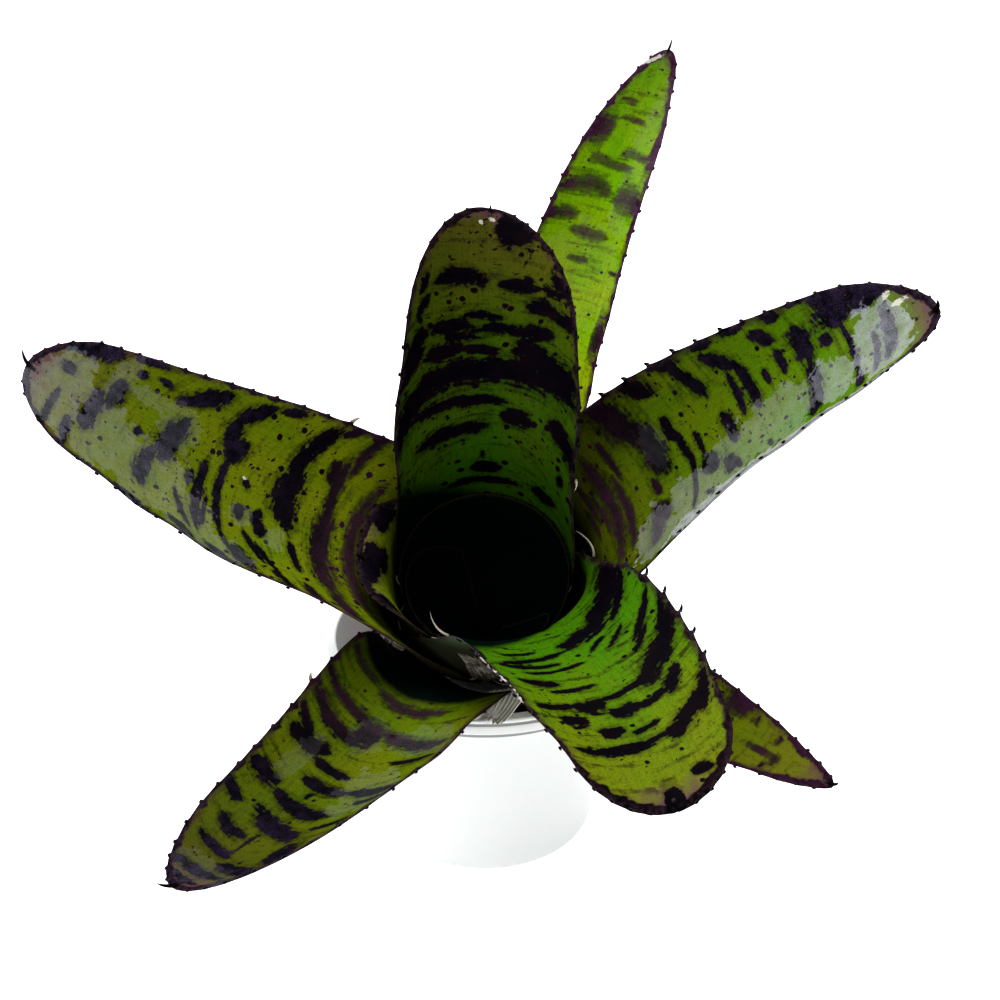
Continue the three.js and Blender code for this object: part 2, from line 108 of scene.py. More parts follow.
def tubes(rings):
    """Closed skins over rings of points, an array (..., rows, columns, 3): neighbouring rings are joined
    by quads and each end is closed by a fan to the middle of its ring. Returns vertices and faces."""
    rows, columns = rings.shape[-3:-1]
    rings = rings.reshape(-1, rows, columns, 3)
    ends = rings[:, [0, -1]].mean(axis=2)
    vertices = np.concatenate([rings.reshape(len(rings), -1, 3), ends], axis=1)
    row, column = np.meshgrid(np.arange(rows - 1), np.arange(columns), indexing="ij")
    here, beside = row * columns + column, row * columns + (column + 1) % columns
    quads = np.stack([here, beside, beside + columns, here + columns], axis=-1).reshape(-1, 4)
    around = np.arange(columns)
    after = (around + 1) % columns
    last = (rows - 1) * columns
    fans = np.concatenate([
        np.stack([after, around, np.full(columns, rows * columns)], axis=-1),
        np.stack([last + around, last + after, np.full(columns, rows * columns + 1)], axis=-1)])
    a, b, c, d = (vertices[0][quads[:, i]] for i in range(4))
    if (np.cross(b - a, c - a) * a + np.cross(c - a, d - a) * a).sum() < 0:
        quads, fans = quads[:, ::-1], fans[:, ::-1]
    steps = (np.arange(len(rings)) * vertices.shape[1])[:, None, None]
    faces = (steps + quads).reshape(-1, 4).tolist() + (steps + fans).reshape(-1, 3).tolist()
    return vertices.reshape(-1, 3), faces


def new_piece(name, vertices, faces, material, attributes=None, crease=40):
    """A mesh object at the origin from vertices in millimetres. attributes maps a name to one triple a
    vertex; edges that turn by more than crease degrees stay sharp."""
    mesh = bpy.data.meshes.new(name)
    mesh.from_pydata((np.asarray(vertices) * MM).tolist(), [], faces)
    for key, values in (attributes or {}).items():
        layer = mesh.attributes.new(key, "FLOAT_VECTOR", "POINT")
        layer.data.foreach_set("vector", np.asarray(values, np.float32).ravel())
    mesh.shade_smooth()
    mesh.set_sharp_from_angle(angle=np.radians(crease))
    mesh.materials.append(material)
    made = bpy.data.objects.new(name, mesh)
    bpy.context.scene.collection.objects.link(made)
    return made


def rounded(profile, reach, steps=4):
    """A polyline with each inner corner replaced by a parabola that starts and ends at most reach from
    the corner, or half a side where that is shorter."""
    profile = np.asarray(profile, float)
    out = [profile[:1]]
    share = np.linspace(0, 1, steps)[:, None]
    for before, corner, after in zip(profile, profile[1:], profile[2:]):
        starts = [corner + (end - corner) * min(0.5, reach / np.linalg.norm(end - corner))
                  for end in (before, after)]
        out.append((1 - share) ** 2 * starts[0] + 2 * share * (1 - share) * corner + share ** 2 * starts[1])
    return np.concatenate(out + [profile[-1:]])


def polar(radius, turn, height):
    """Points at a radius, a turn round Z and a height."""
    return np.stack([radius * np.cos(turn), radius * np.sin(turn), height + 0 * turn], axis=-1)


def turned(profile, sides):
    """Rings of points from a profile of (radius, height) pairs turned round Z."""
    radius, height = np.asarray(profile, float).T[:, :, None]
    return polar(radius, np.arange(sides) * 2 * np.pi / sides, height)


def pot_wall_radius(height):
    """Outer radius of the tapered wall, which runs straight from the foot to under the rim band."""
    return POT_FOOT_RADIUS + (POT_RIM_RADIUS - POT_RIM_STEP - POT_FOOT_RADIUS) * height / POT_HEIGHT


def polypropylene():
    """Moulded white polypropylene: smooth and waxy with a soft sheen, a little light bleeding under the
    skin, a faint orange peel, darker patches on the inner wall above the mix towards the right, and painted
    shade as grey lines in the groove and under the band."""
    material, add = new_material("white_polypropylene")
    place = add("TexCoord").outputs["Object"]
    x, y, z = add("SeparateXYZ", [place]).outputs
    # inner: 1 on the inner face of the wall, by the distance from the middle of the wall
    radius = add("VectorMath", [add("CombineXYZ", [x, y])], operation="LENGTH")
    slope = (pot_wall_radius(POT_HEIGHT) - POT_FOOT_RADIUS) / POT_HEIGHT
    wall = add("Math", [z, slope, (POT_FOOT_RADIUS - POT_WALL / 2) * MM], operation="MULTIPLY_ADD")
    depth = add("Math", [wall, radius], operation="SUBTRACT")
    inner = add("MapRange", [depth, -WALL_BLEND * MM, WALL_BLEND * MM])
    # darker patches on the inner wall, from just below the rim down, starting at x = -38 mm and full from x =
    # -30 mm
    blotches = add("TexNoise", {"Vector": place, "Scale": 1 / (BLOTCH_SIZE * MM), "Detail": 5.0, "Roughness": 0.7})
    stain = add("MapRange", [blotches, 0.0, 0.4])
    below_rim = add("MapRange", [z, POT_HEIGHT * MM, (POT_HEIGHT - FADE_BELOW_RIM) * MM])
    rightward = add("MapRange", [x, PLAIN_UNTIL * MM, DARK_FROM * MM])
    for share in (inner, below_rim, rightward):
        stain = add("Math", [stain, share], operation="MULTIPLY")
    colour = add("Mix", {0: stain, 6: linear(POLYPROPYLENE_WHITE), 7: linear(INNER_WALL_DARK)}, data_type="RGBA")
    # painted shade: grey lines where shade falls in the groove and under the band
    for middle, half, darkness in SHADE_LINES:
        line = add("Math", [z, middle * MM, half * MM], operation="COMPARE")
        line = add("Math", [line, inner], operation="SUBTRACT", use_clamp=True)
        line = add("MapRange", [line, 0.0, 1.0, 0.0, darkness])
        colour = add("Mix", {0: line, 6: colour, 7: linear(SHADE_LINE_GREY)}, data_type="RGBA")
    peel = add("TexNoise", {"Vector": place, "Scale": 1 / (PEEL_SIZE * MM), "Detail": 1.0})
    bump = add("Bump", {"Height": peel, "Strength": 0.12, "Distance": 0.1 * MM})
    gloss = add("MapRange", [blotches, 0.0, 1.0, 0.3, 0.46])
    shader = add("BsdfPrincipled", {
        "Base Color": colour, "Roughness": gloss, "IOR": 1.49,
        "Subsurface Weight": 0.12, "Subsurface Scale": 2 * MM, "Normal": bump})
    add("OutputMaterial", [shader])
    return material


band_foot = POT_HEIGHT - POT_RIM_BAND
groove_top = POT_HEIGHT - POT_LIP_HEIGHT
groove_foot = groove_top - POT_GROOVE_WIDTH
pot_inner_top = pot_wall_radius(POT_HEIGHT) - POT_WALL
# painted shade lines, grey, in the groove and on the wall under the band: height of the middle, half height,
# strength
SHADE_LINES = [(groove_top - 0.45, 0.4, 0.6), (band_foot - 2.3, 0.8, 0.75)]
pot_profile = rounded([
    (1, 0), (POT_FOOT_RADIUS, 0), (pot_wall_radius(band_foot), band_foot), (POT_RIM_RADIUS, band_foot),
    (POT_RIM_RADIUS, groove_foot), (POT_RIM_RADIUS - POT_GROOVE_DEPTH, groove_foot + POT_GROOVE_WIDTH / 3),
    (POT_RIM_RADIUS - POT_GROOVE_DEPTH, groove_top), (POT_RIM_RADIUS, groove_top + 0.1),
    (POT_RIM_RADIUS, POT_HEIGHT), (pot_inner_top, POT_HEIGHT),
    (pot_wall_radius(POT_FLOOR) - POT_WALL, POT_FLOOR), (1, POT_FLOOR)], POT_EDGE_ROUNDING)
pot_white = polypropylene()
pot = new_piece("nursery_pot", *tubes(turned(pot_profile, POT_SIDES)), pot_white)
hole_turns = (np.arange(DRAIN_HOLES) + 0.5) * 2 * np.pi / DRAIN_HOLES
hole_profile = [(DRAIN_RADIUS + DRAIN_FLARE, -0.2), (DRAIN_RADIUS, 0.5), (DRAIN_RADIUS, POT_FLOOR + 1.6)]
hole_rings = turned(hole_profile, DRAIN_SIDES)
hole_rings = hole_rings + polar(DRAIN_RING_RADIUS, hole_turns, 0)[:, None, None]
cutters = new_piece("drain_cutters", *tubes(hole_rings), pot_white)
cut = pot.modifiers.new("drain_holes", "BOOLEAN")
cut.object, cut.operation, cut.solver = cutters, "DIFFERENCE", "EXACT"
pot.data = bpy.data.meshes.new_from_object(pot.evaluated_get(bpy.context.evaluated_depsgraph_get()))
pot.modifiers.clear()
bpy.data.objects.remove(cutters)
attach(pot, "root")
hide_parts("pot")

# ---- Potting mix ----
# Composted orchid bark with coir fibre, poured round the stem and settled in the pot. The body is a
# crumbly heap; bark chips and fibres lie half sunk in its top.
MIX_LEVEL = 52
MIX_CLEARANCE = 0.3
MIX_RELIEF = 1.1
MIX_SIDES = 180
MIX_ROWS = 60
BARK_CHIPS = 420
CHIP_LENGTHS = (2.5, 7.5)
CHIP_WIDTHS = (0.4, 0.75)
CHIP_THICKNESSES = (0.8, 1.9)
CHIP_RISES = (-0.4, 0.7)
CHIP_TIP = 0.25
CHIP_TINTS = (0.2, 1.5)
CHIP_RING = (12, 41)
FIBRES = 90
FIBRE_ROWS, FIBRE_SIDES = 9, 5
FIBRE_RADIUS = 0.16
FIBRE_LENGTHS = (6, 18)
FIBRE_TURNS, FIBRE_BENDS = (1.2, 2.0), (0.2, 1.6)
FIBRE_RING = (14, 36)
FIBRE_RISE = 1.2
MIX_TINT, FIBRE_TINT = 0.3, 1.4
BARK_DARK = "#241c18"
BARK_BROWN = "#5d4838"
BARK_GREY = "#a3a8ac"
BARK_GRAIN, BARK_POWDER = 1.4, 0.35


def crumbs(x, y):
    """Height of the mix above its level: waves of five lengths crossing at odd angles, added up."""
    height = 0 * x
    for wave, (length, angle) in enumerate([(23, 0.3), (13, 1.9), (7.1, 4.2), (4.3, 2.7), (2.9, 5.5)]):
        along = x * np.cos(angle) + y * np.sin(angle)
        sideways = y * np.cos(angle) - x * np.sin(angle)
        height = height + np.sin(along * 2 * np.pi / length + wave + np.sin(sideways / length)) / (1 + wave)
    return MIX_RELIEF * height / 2.3


def composted_bark():
    """Damp composted bark: dark brown to near black with grey weathered faces, rough all over."""
    material, add = new_material("composted_bark")
    place = add("TexCoord").outputs["Object"]
    tint = add("Attribute", attribute_name="tint").outputs["Fac"]
    grain = add("TexNoise", {
        "Vector": place, "Scale": 1 / (BARK_GRAIN * MM), "Detail": 6.0, "Roughness": 0.7})
    fine = add("TexNoise", {"Vector": place, "Scale": 1 / (BARK_POWDER * MM), "Detail": 3.0})
    mixed = add("Math", [grain, tint, -0.12], operation="MULTIPLY_ADD")
    brown = add("Mix", {0: mixed, 6: linear(BARK_DARK), 7: linear(BARK_BROWN)}, data_type="RGBA")
    worn = add("MapRange", [grain, 0.56, 0.78, 0.0, 0.8])
    colour = add("Mix", {0: worn, 6: brown, 7: linear(BARK_GREY)}, data_type="RGBA")
    bump = add("Bump", {"Height": fine, "Strength": 0.8, "Distance": 0.25 * MM})
    shader = add("BsdfPrincipled", {"Base Color": colour, "Roughness": 0.88, "Normal": bump})
    add("OutputMaterial", [shader])
    return material


def plates(rng, centres, length, width, thickness, turns, tips):
    """Bark chips as three-ring plates of eight corners each, with ragged outlines: an outline of
    radius 0.7 to 1.2 stretched to length and width, narrower at the top and bottom faces, tipped and
    turned about its centre."""
    count = len(centres)
    corner = np.arange(8) * np.pi / 4
    ragged = rng.uniform(0.7, 1.2, (count, 1, 8))
    spread = np.array([0.82, 1, 0.78])[None, :, None] * ragged
    x = spread * np.cos(corner) * length[:, None, None] / 2
    y = spread * np.sin(corner) * width[:, None, None] / 2
    z = np.array([-0.5, 0.1, 0.5])[None, :, None] * thickness[:, None, None]
    z = z * rng.uniform(0.8, 1.2, (count, 3, 8))
    tip, turn = tips[:, None, None], turns[:, None, None]
    y, z = y * np.cos(tip) - z * np.sin(tip), y * np.sin(tip) + z * np.cos(tip)
    x, y = x * np.cos(turn) - y * np.sin(turn), x * np.sin(turn) + y * np.cos(turn)
    return np.stack([x, y, z], axis=-1) + centres[:, None, None]


def strands(starts, headings, bends, length):
    """Thin fibres: each runs level from its start, turning evenly by its bend, sags a little at both
    ends, and thins to a point at each."""
    share = np.linspace(0, 1, FIBRE_ROWS)
    heading = headings[:, None] + bends[:, None] * share
    step = length[:, None] / (FIBRE_ROWS - 1)
    x = starts[:, :1] + np.cumsum(np.cos(heading) * step, axis=1)
    y = starts[:, 1:2] + np.cumsum(np.sin(heading) * step, axis=1)
    z = starts[:, 2:3] + 0.9 * np.sin(np.pi * share) - 0.5
    thick = FIBRE_RADIUS * (0.25 + 0.75 * np.sin(np.pi * share) ** 0.5)[None, :, None]
    corner = np.arange(FIBRE_SIDES) * 2 * np.pi / FIBRE_SIDES
    out = thick * np.cos(corner)
    return np.stack([x[..., None] - np.sin(heading)[..., None] * out,
                     y[..., None] + np.cos(heading)[..., None] * out,
                     z[..., None] + thick * np.sin(corner)], axis=-1)


def joined(parts):
    """Several (vertices, faces) pairs as one, and the number of vertices in each."""
    starts = np.cumsum([0] + [len(vertices) for vertices, _ in parts])
    faces = [[int(start) + i for i in face] for start, (_, some) in zip(starts, parts) for face in some]
    return np.concatenate([vertices for vertices, _ in parts]), faces, np.diff(starts)


rng = np.random.default_rng(3)
mix_foot = POT_FLOOR + MIX_CLEARANCE
mix_inside = pot_wall_radius(np.array([mix_foot, MIX_LEVEL])) - POT_WALL - MIX_CLEARANCE
mix_rings = np.concatenate([
    turned([(1, mix_foot), (mix_inside[0], mix_foot), (mix_inside[1], MIX_LEVEL - 1)], MIX_SIDES),
    turned([(radius, MIX_LEVEL) for radius in np.linspace(mix_inside[1] - 0.4, 1, MIX_ROWS)], MIX_SIDES)])
mix_rings[3:, :, 2] += crumbs(mix_rings[3:, :, 0], mix_rings[3:, :, 1])
chip_turn = rng.uniform(0, 2 * np.pi, BARK_CHIPS)
chip_distance = CHIP_RING[0] + (CHIP_RING[1] - CHIP_RING[0]) * rng.random(BARK_CHIPS) ** 0.7
chip_length = rng.uniform(*CHIP_LENGTHS, BARK_CHIPS)
chip_distance = np.minimum(chip_distance, mix_inside[1] - 0.62 * chip_length)
chip_x, chip_y = chip_distance * np.cos(chip_turn), chip_distance * np.sin(chip_turn)
chip_z = MIX_LEVEL + crumbs(chip_x, chip_y) + rng.uniform(*CHIP_RISES, BARK_CHIPS)
chip_rings = plates(
    rng, np.stack([chip_x, chip_y, chip_z], axis=-1), chip_length,
    chip_length * rng.uniform(*CHIP_WIDTHS, BARK_CHIPS), rng.uniform(*CHIP_THICKNESSES, BARK_CHIPS),
    rng.uniform(0, np.pi, BARK_CHIPS), rng.normal(0, CHIP_TIP, BARK_CHIPS))
fibre_turn, fibre_distance = rng.uniform(0, 2 * np.pi, FIBRES), rng.uniform(*FIBRE_RING, FIBRES)
fibre_start = polar(fibre_distance, fibre_turn, MIX_LEVEL + FIBRE_RISE)
fibre_heading = fibre_turn + rng.uniform(*FIBRE_TURNS, FIBRES)
fibre_bend, fibre_length = rng.uniform(*FIBRE_BENDS, FIBRES), rng.uniform(*FIBRE_LENGTHS, FIBRES)
fibre_rings = strands(fibre_start, fibre_heading, fibre_bend, fibre_length)
mix_vertices, mix_faces, mix_counts = joined([tubes(mix_rings), tubes(chip_rings), tubes(fibre_rings)])
chip_tints = np.repeat(rng.uniform(*CHIP_TINTS, BARK_CHIPS), mix_counts[1] // BARK_CHIPS)
mix_tint = np.concatenate([np.full(mix_counts[0], MIX_TINT), chip_tints, np.full(mix_counts[2], FIBRE_TINT)])
mix = new_piece("bark_mix", mix_vertices, mix_faces, composted_bark(),
                {"tint": np.repeat(mix_tint[:, None], 3, axis=1)})
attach(mix, "root")
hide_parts("potting_mix")

# ---- Stem ----
# The short woody stock (caudex) that every leaf grows from, leaning forward, with ring scars of lost
# leaves and wiry brown roots that run from its foot into the mix.
LEAN = np.radians(28)
PLANT_FOOT_HEIGHT = 53.7
STEM_FOOT_RADIUS = 11
STEM_TOP_RADIUS = 4.5
STEM_TAPER = (5, 26)
STEM_TIP_HEIGHT = 27.5
STEM_DEPTH = 22
SCAR_PITCH = 1.6
SCAR_DEPTH = 0.25
STEM_SIDES = 64
ROOTS = 16
ROOT_ROWS = 12
ROOT_SIDES = 7
ROOT_RADIUS = 0.75
ROOT_REACHES = (6, 15)
ROOT_RISES = (-1, 3)
ROOT_DROP = 9
ROOT_BROWN = "#3a2a1c"
STOCK_BROWN = "#6a5038"
# near black of the painted tank shade on the stem top, and the heights where it starts and is full
HEART_SHADE_BLACK = "#030503"
HEART_SHADE_FROM, HEART_SHADE_FULL = 68, 72
WOOD_GRAIN = 1.2


def smooth(t):
    """Smoothstep from 0 to 1."""
    t = np.clip(t, 0, 1)
    return t * t * (3 - 2 * t)


def lerp(start, end, t):
    """Straight mix of start and end."""
    return start + (end - start) * t


def leaned(points):
    """Points on the plant's own axis, set in the pot: turned forward by the lean, about X, and raised."""
    x, y, z = np.moveaxis(points, -1, 0)
    return np.stack([x, y * np.cos(LEAN) - z * np.sin(LEAN),
                     y * np.sin(LEAN) + z * np.cos(LEAN) + PLANT_FOOT_HEIGHT], axis=-1)


def stem_radius(height):
    """Radius of the stem at a height along the plant's axis."""
    share = np.clip((height - STEM_TAPER[0]) / (STEM_TAPER[1] - STEM_TAPER[0]), 0, 1)
    return lerp(STEM_FOOT_RADIUS, STEM_TOP_RADIUS, share)


def woody_stock():
    """Dry bark-like skin of the stem and roots: brown, fibrous along its length, without gloss. The
    growing point at the top of the stem, deep in the tank, is painted near black as shade."""
    material, add = new_material("woody_stock")
    place = add("TexCoord").outputs["Object"]
    fibrous = add("Mapping", {"Vector": place, "Scale": (1, 1, 0.25)})
    grain = add("TexNoise", {"Vector": fibrous, "Scale": 1 / (WOOD_GRAIN * MM), "Detail": 5.0})
    colour = add("Mix", {0: grain, 6: linear(ROOT_BROWN), 7: linear(STOCK_BROWN)}, data_type="RGBA")
    height = add("SeparateXYZ", [place]).outputs[2]
    # painted shade: near black towards the top of the stem, deep in the tank
    heart_shade = add("MapRange", [height, HEART_SHADE_FROM * MM, HEART_SHADE_FULL * MM])
    colour = add("Mix", {0: heart_shade, 6: colour, 7: linear(HEART_SHADE_BLACK)}, data_type="RGBA")
    bump = add("Bump", {"Height": grain, "Strength": 0.7, "Distance": 0.3 * MM})
    shader = add("BsdfPrincipled", {
        "Base Color": colour, "Roughness": 0.85, "Specular IOR Level": 0.05, "Normal": bump})
    add("OutputMaterial", [shader])
    return material


scar_heights = np.arange(-STEM_DEPTH, STEM_TIP_HEIGHT - 1, SCAR_PITCH / 6)
scars = SCAR_DEPTH * np.abs(np.sin(np.pi * scar_heights / SCAR_PITCH))
narrowing = smooth((scar_heights + STEM_DEPTH) / 3 + 0.5)
stem_profile = np.stack([(stem_radius(scar_heights) - SCAR_DEPTH) * narrowing + scars, scar_heights], axis=-1)
stem_profile = np.concatenate([stem_profile, [(0.6 * STEM_TOP_RADIUS, STEM_TIP_HEIGHT)]])
root_turn = (np.arange(ROOTS) + rng.uniform(-0.3, 0.3, ROOTS)) * 2 * np.pi / ROOTS
root_share = np.linspace(0, 1, ROOT_ROWS)
root_reach = STEM_FOOT_RADIUS - 1 + rng.uniform(*ROOT_REACHES, ROOTS)[:, None] * root_share ** 0.8
root_height = rng.uniform(*ROOT_RISES, ROOTS)[:, None] - ROOT_DROP * root_share ** 1.5
root_line = polar(root_reach, root_turn[:, None] + 0.5 * root_share, root_height)
corner = np.arange(ROOT_SIDES) * 2 * np.pi / ROOT_SIDES
root_thick = (ROOT_RADIUS * (1 - 0.6 * root_share))[None, :, None, None]
root_side = np.stack([-np.sin(root_turn), np.cos(root_turn), 0 * root_turn], axis=-1)[:, None, None]
root_rings = root_line[:, :, None] + root_thick * (
    root_side * np.cos(corner)[:, None] + np.array([0, 0, 1]) * np.sin(corner)[:, None])
stem_vertices, stem_faces, _ = joined([tubes(turned(stem_profile, STEM_SIDES)), tubes(root_rings)])
stem = new_piece("stem_stock", leaned(stem_vertices), stem_faces, woody_stock())
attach(stem, "root")
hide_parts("stem")

# ---- Dry sheaths ----
# Old leaf bases that have dried to brown-grey paper and split at the top. They still clasp the foot of
# the rosette; the front one has torn into a tongue that stands up and pale strips that fold down.
CLEARANCE = 0.3
LEAF_THICKNESS = 0.8
RANKS = 12
FIRST_LEAF_HEIGHT = 6.6
LEAF_HEIGHT_STEP = 1.6
INNER_RADIUS = 23.5
SHELL_PITCH = 1.5
SHEATH_BASE_ANGLE = np.radians(54)
SHEATH_WALL_ANGLE = np.radians(4)
SHEATH_BASE_WRAP = np.radians(120)
SHEATH_LENGTH = 50
END_ROUNDING = 2.2
MIDRIB_STEPS = 400
PAPER_THICKNESS = 0.3
PAPER_PALE = "#f1eee8"
PAPER_BROWN = "#6f6456"
VEINS_PER_MM = (1.5, 0.05, 0)
BLOTS_PER_MM = 0.22
PAPER_CRIMP = 0.22
PAPER_COLUMNS, PAPER_ROWS = 60, 80

# splits: how many strips the end is torn into. stain: above 0 browner, below 0 more silvery
DRY_SHEATHS = [
    dict(name="dry_sheath_back", tongues=[
        dict(rank=0, azimuth=175, wrap=34, length=29, width=22, bendStart=20, bendLength=8, spread=24,
             droop=10, swing=0, twist=0, channelNear=30, channelFar=24, taper=0.7, endLength=8, splits=3,
             stain=0.05)]),
    dict(name="dry_sheath_front", tongues=[
        dict(rank=6.5, azimuth=276, wrap=12, length=51, width=9, bendStart=26, bendLength=8, spread=4,
             droop=0, swing=-14, twist=0, channelNear=28, channelFar=28, taper=0.5, endLength=14, splits=2,
             stain=0.16),
        dict(rank=4, azimuth=284, wrap=10, length=49, width=13, bendStart=33, bendLength=8, spread=84,
             droop=0, swing=-16, twist=0, channelNear=30, channelFar=24, taper=0.6, endLength=10, splits=3,
             stain=-0.32)]),
]


def base_angle(t):
    """Inclination of the sheath off the axis: it flares from the stem, then rises nearly straight."""
    return lerp(SHEATH_BASE_ANGLE, SHEATH_WALL_ANGLE, smooth(t))


def inclination(leaf, along):
    """Inclination of the midrib off the plant's axis: the sheath's own, plus the lean past the bend,
    plus a droop that grows evenly to the tip."""
    lean = np.radians(leaf["spread"]) - SHEATH_WALL_ANGLE
    start = leaf["bendStart"] + leaf["bendLength"] / 2
    drooping = np.radians(leaf["droop"]) * np.clip((along - start) / (leaf["length"] - start), 0, 1)
    leaning = lean * smooth((along - leaf["bendStart"]) / leaf["bendLength"])
    return base_angle(along / leaf["flare"]) + drooping + leaning


def trace_midrib(leaf):
    """Adds the midrib's line to a leaf: radius and height are the running sums of the sine and cosine
    of its inclination, from the stem's skin, to a little past the tip."""
    leaf["shell"] = INNER_RADIUS + SHELL_PITCH * (RANKS - 1 - leaf["rank"])
    foot = FIRST_LEAF_HEIGHT + LEAF_HEIGHT_STEP * leaf["rank"]
    start = stem_radius(foot) + CLEARANCE + LEAF_THICKNESS / 2
    leaf["flare"] = (leaf["shell"] - start) / np.sin(base_angle((np.arange(200) + 0.5) / 200)).mean()
    step = 1.05 * leaf["length"] / MIDRIB_STEPS
    angles = inclination(leaf, (np.arange(MIDRIB_STEPS) + 0.5) * step)
    leaf["stations"] = np.arange(MIDRIB_STEPS + 1) * step
    leaf["radii"] = start + step * np.concatenate([[0], np.cumsum(np.sin(angles))])
    leaf["heights"] = foot + step * np.concatenate([[0], np.cumsum(np.cos(angles))])


def half_width(leaf, along):
    """Half of the flat width: the sheath clasps the stem by its wrap angle and narrows to the blade's
    width, and the blade tapers a little and ends rounded."""
    wrap = lerp(SHEATH_BASE_WRAP, np.radians(leaf["wrap"]), smooth(along / (0.5 * SHEATH_LENGTH)))
    sheath = wrap * np.minimum(np.interp(along, leaf["stations"], leaf["radii"]), leaf["shell"] + SHELL_PITCH)
    tapering = np.clip((along / leaf["length"] - 0.5) / 0.5, 0, 1) ** 1.5
    blade = leaf["width"] / 2 * lerp(1, leaf["taper"], tapering)
    share = smooth((along - 0.45 * SHEATH_LENGTH) / (0.75 * SHEATH_LENGTH))
    to_end = np.clip((leaf["length"] - along) / leaf["endLength"], 0, 1)
    return lerp(sheath, blade, share) * np.sqrt(1 - (1 - to_end) ** END_ROUNDING)


def leaf_points(leaf, along, across, offset):
    """Points of a leaf at arc lengths along the midrib and across it, offset off its middle surface
    (towards the underside positive). The sheath is the midrib turned round the plant's axis; the blade
    is an arc across the midrib, swung sideways and rolled towards its tip; past the bend one runs over
    into the other."""
    radius = np.interp(along, leaf["stations"], leaf["radii"])
    height = np.interp(along, leaf["stations"], leaf["heights"])
    angle = inclination(leaf, along)
    outward = np.clip((along - leaf["bendStart"]) / (leaf["length"] - leaf["bendStart"]), 0, 1.05)
    azimuth = np.radians(leaf["azimuth"] + leaf["swing"] * outward ** 1.5)
    shell = polar(radius + offset * np.cos(angle), azimuth + across / radius, height - offset * np.sin(angle))
    side = np.stack([-np.sin(azimuth), np.cos(azimuth), 0 * azimuth], axis=-1)
    inward = polar(-np.cos(angle), azimuth, np.sin(angle))
    twist = np.radians(leaf["twist"]) * outward[..., None]
    side, up = side * np.cos(twist) + inward * np.sin(twist), inward * np.cos(twist) - side * np.sin(twist)
    opening = smooth((along - leaf["bendStart"] - 0.5 * leaf["bendLength"])
                     / (0.45 * (leaf["length"] - leaf["bendStart"])))
    channel = lerp(leaf["channelNear"], leaf["channelFar"], opening)
    bow = across / channel
    blade = polar(radius, azimuth, height)
    blade = blade + side * ((channel + offset) * np.sin(bow))[..., None]
    blade = blade + up * (channel - (channel + offset) * np.cos(bow))[..., None]
    share = smooth((along - leaf["bendStart"]) / (1.2 * leaf["bendLength"]))[..., None]
    return leaned(lerp(shell, blade, share))


def dry_paper():
    """Dead leaf sheath: thin grey-brown paper, silvery between raised brown veins, no gloss."""
    material, add = new_material("dry_leaf_paper")
    place = add("Attribute", attribute_name="place").outputs["Vector"]
    lengthwise = add("Mapping", {"Vector": place, "Scale": VEINS_PER_MM})
    vein = add("TexNoise", {"Vector": lengthwise, "Scale": 1.0, "Detail": 3.0})
    blots = add("TexNoise", {"Vector": place, "Scale": BLOTS_PER_MM, "Detail": 4.0, "Roughness": 0.65})
    tone = add("SeparateXYZ", [place]).outputs[2]
    for part in (vein, blots):
        tone = add("Math", [tone, part], operation="ADD")
    tone = add("MapRange", [tone, 0.8, 1.2])
    colour = add("Mix", {0: tone, 6: linear(PAPER_PALE), 7: linear(PAPER_BROWN)}, data_type="RGBA")
    bump = add("Bump", {"Height": vein, "Strength": 0.8, "Distance": 0.25 * MM})
    shader = add("BsdfPrincipled", {"Base Color": colour, "Roughness": 0.8, "Normal": bump})
    add("OutputMaterial", [shader])
    return material


def split_sheath(leaf):
    """A dry sheath as one closed skin: its end is torn back in pointed strips (a saw of splits across
    the width), and it is crimped along its veins, more towards the torn end."""
    trace_midrib(leaf)
    across = np.linspace(-1, 1, PAPER_COLUMNS)
    tear = np.abs((across * leaf["splits"] + 0.35) % 1 - 0.5) * 2
    torn_off = 0.15 + 0.8 * tear ** 0.7 * (0.5 + 0.5 * np.cos(3 * across + 1))
    end = leaf["length"] - leaf["endLength"] * torn_off
    share = np.linspace(0, 1, PAPER_ROWS)[:, None]
    along = share * end
    width = across * half_width(leaf, np.minimum(along, leaf["length"] - 0.6 * leaf["endLength"]))
    crimp = PAPER_CRIMP * share * np.sin(across * 26 + 2 * np.sin(4 * share))
    edge = np.sqrt(np.clip(1 - across ** 16, 0, 1)) * np.sqrt(np.clip(1 - share ** 40, 0, 1))
    faces = [leaf_points(leaf, along, width, crimp + side * edge * PAPER_THICKNESS / 2) for side in (-1, 1)]
    rings = np.concatenate([faces[0], faces[1][:, ::-1]], axis=1)
    place = np.stack([width, along, 0 * width + leaf["stain"]], axis=-1)
    place = np.concatenate([place, place[:, ::-1]], axis=1).reshape(-1, 3)
    return *tubes(rings), np.concatenate([place, place[[0, -1]]])


paper = dry_paper()
for sheath in DRY_SHEATHS:
    torn = [split_sheath(tongue) for tongue in sheath["tongues"]]
    sheath_vertices, sheath_faces, _ = joined([skin[:2] for skin in torn])
    sheath_place = np.concatenate([skin[2] for skin in torn])
    sheath_piece = new_piece(sheath["name"] + "_paper", sheath_vertices, sheath_faces, paper,
                             {"place": sheath_place})
    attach(sheath_piece, "root")
    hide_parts(sheath["name"])

